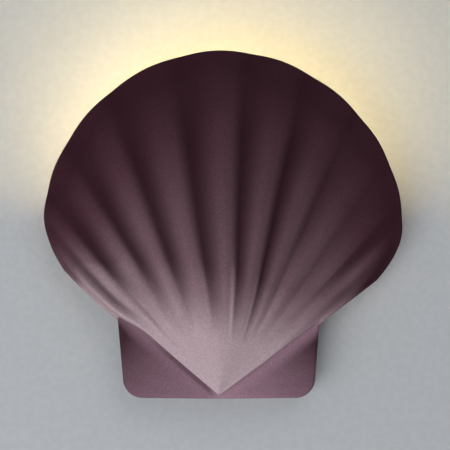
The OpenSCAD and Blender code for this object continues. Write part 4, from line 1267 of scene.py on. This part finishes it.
def lit_material(name, base, half_length, **numbers):
    """A warm glowing material, brightest at the middle of its length. The half length is in metres."""
    material, shader = new_material(name, **numbers)
    tree = material.node_tree
    off_middle = abs(parts_of(object_place(tree))[0])
    grain = group_node(tree, grain_group, Grains_per_metre=3000.0)
    fading = 1 - smooth(half_length * FULL_GLOW_SHARE, half_length, off_middle) * GLOW_LOSS
    connect(mix_colour(tree, LAMP_EDGE, WARM_WHITE, fading), shader.inputs["Emission Color"])
    connect(mix_colour(tree, base, WARM_WHITE, grain["Speckle"] * 0.1), shader.inputs["Base Color"])
    connect(mix(0.45, 0.6, grain["Speckle"]), shader.inputs["Roughness"])
    shader.inputs["Emission Strength"].default_value = LENS_GLOW
    return material


finishes["frosted_lens"] = lit_material("frosted_lens", (0.95, 0.92, 0.86), 0.028, Transmission_Weight=0.3)
finishes["warm_emitter"] = lit_material("warm_emitter", (0.90, 0.68, 0.20), 0.1)
print("lit finishes, emission strength:", LENS_GLOW)

# %% [markdown]
# Each CAD node now takes the finish that its record names.

# %% Dress the CAD nodes
slot_of = {part["node"]: part["material_slot"] for part in frame["record"]["subparts"]}
for name, cad_piece in nodes.items():
    material = finishes.get(slot_of[name], paint)
    if not cad_piece.material_slots:
        cad_piece.data.materials.append(material)
    for material_slot in cad_piece.material_slots:
        material_slot.material = material
print("CAD nodes with a finish:", len(nodes))

# %% [markdown]
# ## Castings with eased edges
# A casting or a moulding never has a knife edge. The CAD solids do, so each visible one is copied, its
# loose triangles are welded and its flat faces merged, and a small bevel is put along its sharp edges.

# %% Ease the edges of the housing
BEVEL_SEGMENTS = 2
# Widths of the bevels in millimetres
EASED = {"back_box": 0.6, "lamp_head": 0.5, "lens_frame": 0.35, "hanger_bar": 0.3}


def eased(node_name, width):
    """A copy of a CAD node with bevelled edges, standing for that node. The width is in millimetres."""
    form = bmesh.new()
    form.from_mesh(nodes[node_name].data)
    bmesh.ops.remove_doubles(form, verts=form.verts, dist=WELD)
    bmesh.ops.dissolve_limit(form, angle_limit=math.radians(0.5), verts=form.verts, edges=form.edges)
    mesh = bpy.data.meshes.new(node_name + "_eased")
    form.to_mesh(mesh)
    form.free()
    piece = placed(node_name + "_eased", mesh)
    bevel = piece.modifiers.new("edges", "BEVEL")
    bevel.width = width * MM
    bevel.segments = BEVEL_SEGMENTS
    bevel.limit_method = "ANGLE"
    bevel.angle_limit = math.radians(35)
    bevel.harden_normals = True
    piece.data = evaluated_mesh(piece)
    piece.modifiers.clear()
    piece.data.materials.clear()
    piece.data.materials.append(finishes[slot_of[node_name]])
    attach(piece, "root")
    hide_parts(node_name)
    return piece


for node_name, width in EASED.items():
    report(node_name + "_eased", eased(node_name, width))

# %% [markdown]
# ## Screws
# The screws come in sets, so one screw of each kind is turned on a lathe, as rings round an axis with a
# six-sided socket sunk in the head, and Geometry Nodes put its copies on a small grid of points. The grid
# has the CAD's spacings, and the whole set is then turned and carried to its seat.

# %% Turn one screw of each kind
SCREW_AROUND = 36
# Millimetres
TIP_TAPER = 0.4
TIP_LENGTH = 0.6
SOCKET_EASE = 0.12
SOCKET_LIP = 0.05
SOCKET_STEP = 0.2
RIM_EASE = 0.15
FLUSH_EDGE = 0.12
FLUSH_EASE = 0.2
# A domed head's outline in shares of its half width and its height
CROWN = ((1.0, 0.5), (0.95, 0.74), (0.84, 0.9), (0.68, 1.0))
SIXTH_TURN = math.pi / 3


def screw_ring(radius, height, hexagon=False):
    """One ring of a screw. A hexagon's ring keeps its corners at the full radius."""
    points = []
    for k in range(SCREW_AROUND):
        turn = 2 * math.pi * k / SCREW_AROUND
        off_flat = turn % SIXTH_TURN - SIXTH_TURN / 2
        reach = radius * math.cos(SIXTH_TURN / 2) / math.cos(off_flat) if hexagon else radius
        points.append(Vector((reach * math.cos(turn), reach * math.sin(turn), height)) * MM)
    return points


def turned_screw(name, shank, reach, head_profile, socket, depth):
    """A screw along -Z with its head at the origin, from its tip over the head and down into the socket."""
    rings = [screw_ring(shank / 2 - TIP_TAPER, -reach), screw_ring(shank / 2, -reach + TIP_LENGTH)]
    rings += [screw_ring(radius, height) for radius, height in head_profile]
    top = head_profile[-1][1]
    rings += [screw_ring(socket / 2 + SOCKET_EASE, top - SOCKET_LIP)]
    rings += [screw_ring(socket / 2, top - down, hexagon=True) for down in (SOCKET_STEP, depth)]
    form = bmesh.new()
    ring_stack(form, rings)
    screw = mesh_piece(name, form)
    screw.data.shade_smooth()
    screw.data.set_sharp_from_angle(angle=math.radians(40))
    return screw


def pan_profile(shank, head, tall):
    """The outline of a domed head, from under its rim to the edge of its crown."""
    under = [(shank / 2, 0), (head / 2 - RIM_EASE, 0), (head / 2, RIM_EASE)]
    return under + [(head / 2 * wide, tall * high) for wide, high in CROWN]


def flush_profile(shank, sink):
    """The outline of a flush head, a cone whose flat top is at the origin."""
    wide = shank / 2 + sink
    return [(shank / 2, -sink), (wide - FLUSH_EDGE, -FLUSH_EDGE), (wide - FLUSH_EASE, 0)]


small_pan = pan_profile(3, 5.5, 2)
large_pan = pan_profile(4, 7, 2.4)
kinds = {
    "lens_screw": turned_screw("lens_screw", 3, 9.5, small_pan, 2, 1.0),
    "board_screw": turned_screw("board_screw", 3, 6.6, small_pan, 2, 1.0),
    "hanger_screw": turned_screw("hanger_screw", 4, 6.5, large_pan, 3, 1.2),
    "lid_screw": turned_screw("lid_screw", 4, 11.5, flush_profile(4, 1.7), 3, 1.7),
    "shell_screw": turned_screw("shell_screw", 5, 17, flush_profile(5, HEAD_SINK), 3, 2.3),
}
print("kinds of screw:", ", ".join(kinds))

# %% [markdown]
# The set's tree starts from a grid of one or two rows. Its tilt turns the screws' heads from facing up (0)
# to facing away from the wall (90) or down (180).

# %% A tree for a set of screws
SET_INPUTS = {"Screw": kinds["lens_screw"], "Across": 64.0, "Along": 13.0, "Rows": 2, "Tilt": 0.0,
              "Off wall": 32.0, "Up": 106.0, "Metal": finishes["steel_screws"]}
set_tree, set_in, set_output = new_tree("screw_set", SET_INPUTS)
places_grid = node_step(set_tree, "GeometryNodeMeshGrid", inputs={
    "Size X": set_in["Across"] * MM, "Size Y": set_in["Along"] * MM,
    "Vertices X": 2, "Vertices Y": set_in["Rows"]})
screw_shape = node_step(set_tree, "GeometryNodeObjectInfo", inputs={"Object": set_in["Screw"]})
copies = node_step(set_tree, "GeometryNodeInstanceOnPoints", places_grid.outputs["Mesh"])
set_tree.links.new(screw_shape.outputs["Geometry"], copies.inputs["Instance"])
tilt = joined(set_in["Tilt"] * math.radians(1), 0.0, 0.0)
seat = joined(0.0, set_in["Off wall"] * -MM, (set_in["Up"] + BASE_LINE) * MM)
seating = {"Translation": seat, "Rotation": tilt}
carried = node_step(set_tree, "GeometryNodeTransform", copies.outputs[0], seating)
screws_real = node_step(set_tree, "GeometryNodeRealizeInstances", carried.outputs[0])
metal = {"Material": set_in["Metal"]}
screws_done = node_step(set_tree, "GeometryNodeSetMaterial", screws_real.outputs[0], metal)
set_tree.links.new(screws_done.outputs[0], set_output.inputs[0])
print("named inputs of a set of screws:", ", ".join(set_in))

# %% [markdown]
# The sets' spacings and seats are the CAD model's, in millimetres, with the tilt in degrees. Each finished
# set is measured against the box of the CAD node that it stands for.

# %% Place the sets of screws
SETS = {
    "lens_screws": ("lens_screw", 64.0, 13.0, 2, 0.0, 32.0, 106.0),
    "board_screws": ("board_screw", 44.0, 0.0, 1, 0.0, 32.0, 84.1),
    "hanger_screws": ("hanger_screw", 16.0, 0.0, 1, 90.0, 26.0, 48.0),
    "lid_screws": ("lid_screw", 80.0, 84.0, 2, 90.0, 21.0, 56.0),
    "shell_screws": ("shell_screw", 52.0, 0.0, 1, 180.0, 10.0, 0.0),
}
for node_name, (kind, *seat_numbers) in SETS.items():
    values = dict(zip(SET_INPUTS, (kinds[kind], *seat_numbers, finishes["steel_screws"])))
    screw_set = grown_mesh(node_name + "_turned", set_tree, values)
    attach(screw_set, "root")
    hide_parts(node_name)
    low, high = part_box(node_name)
    gaps = []
    for axis in range(3):
        along_axis = [vertex.co[axis] for vertex in screw_set.data.vertices]
        gaps.append(abs(min(along_axis) - low[axis]) + abs(max(along_axis) - high[axis]))
    print(node_name, "furthest from the CAD box in mm:", round(max(gaps) / MM, 2))
for screw in kinds.values():
    bpy.data.objects.remove(screw)

# %% [markdown]
# ## The wall, the floor and the lights
# The light hangs on a plain pale wall, above a plain pale floor. Both are seen from one side only: from
# behind, a ray passes through them, and so does the light on its way to the object's back, which can be
# looked at too.

# %% Wall and floor
WALL_COLOUR = (0.42, 0.44, 0.46)
FLOOR_COLOUR = (0.72, 0.72, 0.71)
LIGHTER_GRAINS = 1.04
PLASTER_BUMP = 0.1
# Metres
PLASTER_DEPTH = 0.0003
HALF_WALL = 2.0
WALL_TOP = 1.6
WALL_GAP = 0.0006
FLOOR_LEVEL = -1.15


def one_sided(name, colour):
    """A pale plaster that is clear from behind."""
    material, shader = new_material(name, Roughness=0.9, Specular_IOR_Level=0.2)
    tree = material.node_tree
    grain = group_node(tree, grain_group, Grains_per_metre=260.0)
    lighter = tuple(min(1.0, part * LIGHTER_GRAINS) for part in colour)
    connect(mix_colour(tree, colour, lighter, grain["Speckle"]), shader.inputs["Base Color"])
    bump_from(tree, shader, grain["Height"], PLASTER_BUMP, PLASTER_DEPTH)
    back = tree.nodes.new("ShaderNodeNewGeometry")
    path = tree.nodes.new("ShaderNodeLightPath")
    clear = tree.nodes.new("ShaderNodeBsdfTransparent")
    choice = tree.nodes.new("ShaderNodeMixShader")
    let_through = maths("MAXIMUM", Field(back.outputs["Backfacing"]), Field(path.outputs["Is Shadow Ray"]))
    connect(let_through, choice.inputs["Fac"])
    tree.links.new(shader.outputs[0], choice.inputs[1])
    tree.links.new(clear.outputs[0], choice.inputs[2])
    tree.links.new(choice.outputs[0], tree.nodes["Material Output"].inputs["Surface"])
    return material


def stage_sheet(name, corners, material):
    """A four-cornered sheet that belongs to the stage and not to the part."""
    mesh = bpy.data.meshes.new(name)
    mesh.from_pydata(corners, [], [(0, 1, 2, 3)])
    mesh.materials.append(material)
    sheet_piece = placed(name, mesh)


wall_corners = [(-HALF_WALL, WALL_GAP, FLOOR_LEVEL), (HALF_WALL, WALL_GAP, FLOOR_LEVEL),
                (HALF_WALL, WALL_GAP, WALL_TOP), (-HALF_WALL, WALL_GAP, WALL_TOP)]
floor_corners = [(-HALF_WALL, -2 * HALF_WALL, FLOOR_LEVEL), (HALF_WALL, -2 * HALF_WALL, FLOOR_LEVEL),
                 (HALF_WALL, WALL_GAP, FLOOR_LEVEL), (-HALF_WALL, WALL_GAP, FLOOR_LEVEL)]
stage_sheet("house_wall", wall_corners, one_sided("wall_plaster", WALL_COLOUR))
stage_sheet("ground", floor_corners, one_sided("ground_paving", FLOOR_COLOUR))
print("wall in metres: across", 2 * HALF_WALL, "from", FLOOR_LEVEL, "up to", WALL_TOP)

# %% [markdown]
# The studio light is soft and plain. The wide key stands low in front, so the lower half of the shell is
# the brightest, as in the photograph, a weaker fill lights it from above, a rear lamp lights its back, and
# the pale world does the rest. Rays that the camera sees directly find a pale background of strength 1.

# %% Studio lights and world
WORLD_STRENGTH = 0.45
WORLD_COLOUR = (0.86, 0.87, 0.89, 1)
# Metres and watts
MIDDLE = Vector((0.0, 0.0, 0.04))
SOFTBOXES = {
    "key": dict(place=(-0.7, -1.25, -0.75), side=1.3, power=18.0),
    "fill": dict(place=(0.5, -1.5, 0.9), side=1.0, power=4.0),
    "rear": dict(place=(-0.5, 1.3, 0.5), side=1.0, power=6.0),
}


def softbox(name, place, side, power):
    """A square area lamp that faces the middle of the light. Metres and watts."""
    data = bpy.data.lights.new(name, "AREA")
    data.shape = "SQUARE"
    data.size = side
    data.energy = power
    lamp = placed(name, data)
    lamp.location = place
    lamp.rotation_euler = (MIDDLE - Vector(place)).to_track_quat("-Z", "Y").to_euler()


for name, settings in SOFTBOXES.items():
    softbox(name, **settings)
world = bpy.data.worlds.new("pale_sky")
bpy.context.scene.world = world
world.use_nodes = True
world_tree = world.node_tree
rays = world_tree.nodes.new("ShaderNodeLightPath")
seen = maths("MAXIMUM", Field(rays.outputs["Is Camera Ray"]), Field(rays.outputs["Is Transmission Ray"]))
background = world_tree.nodes["Background"]
background.inputs["Color"].default_value = WORLD_COLOUR
connect(mix(WORLD_STRENGTH, 1.0, seen), background.inputs["Strength"])
print("lamps:", ", ".join(SOFTBOXES))

# %% [markdown]
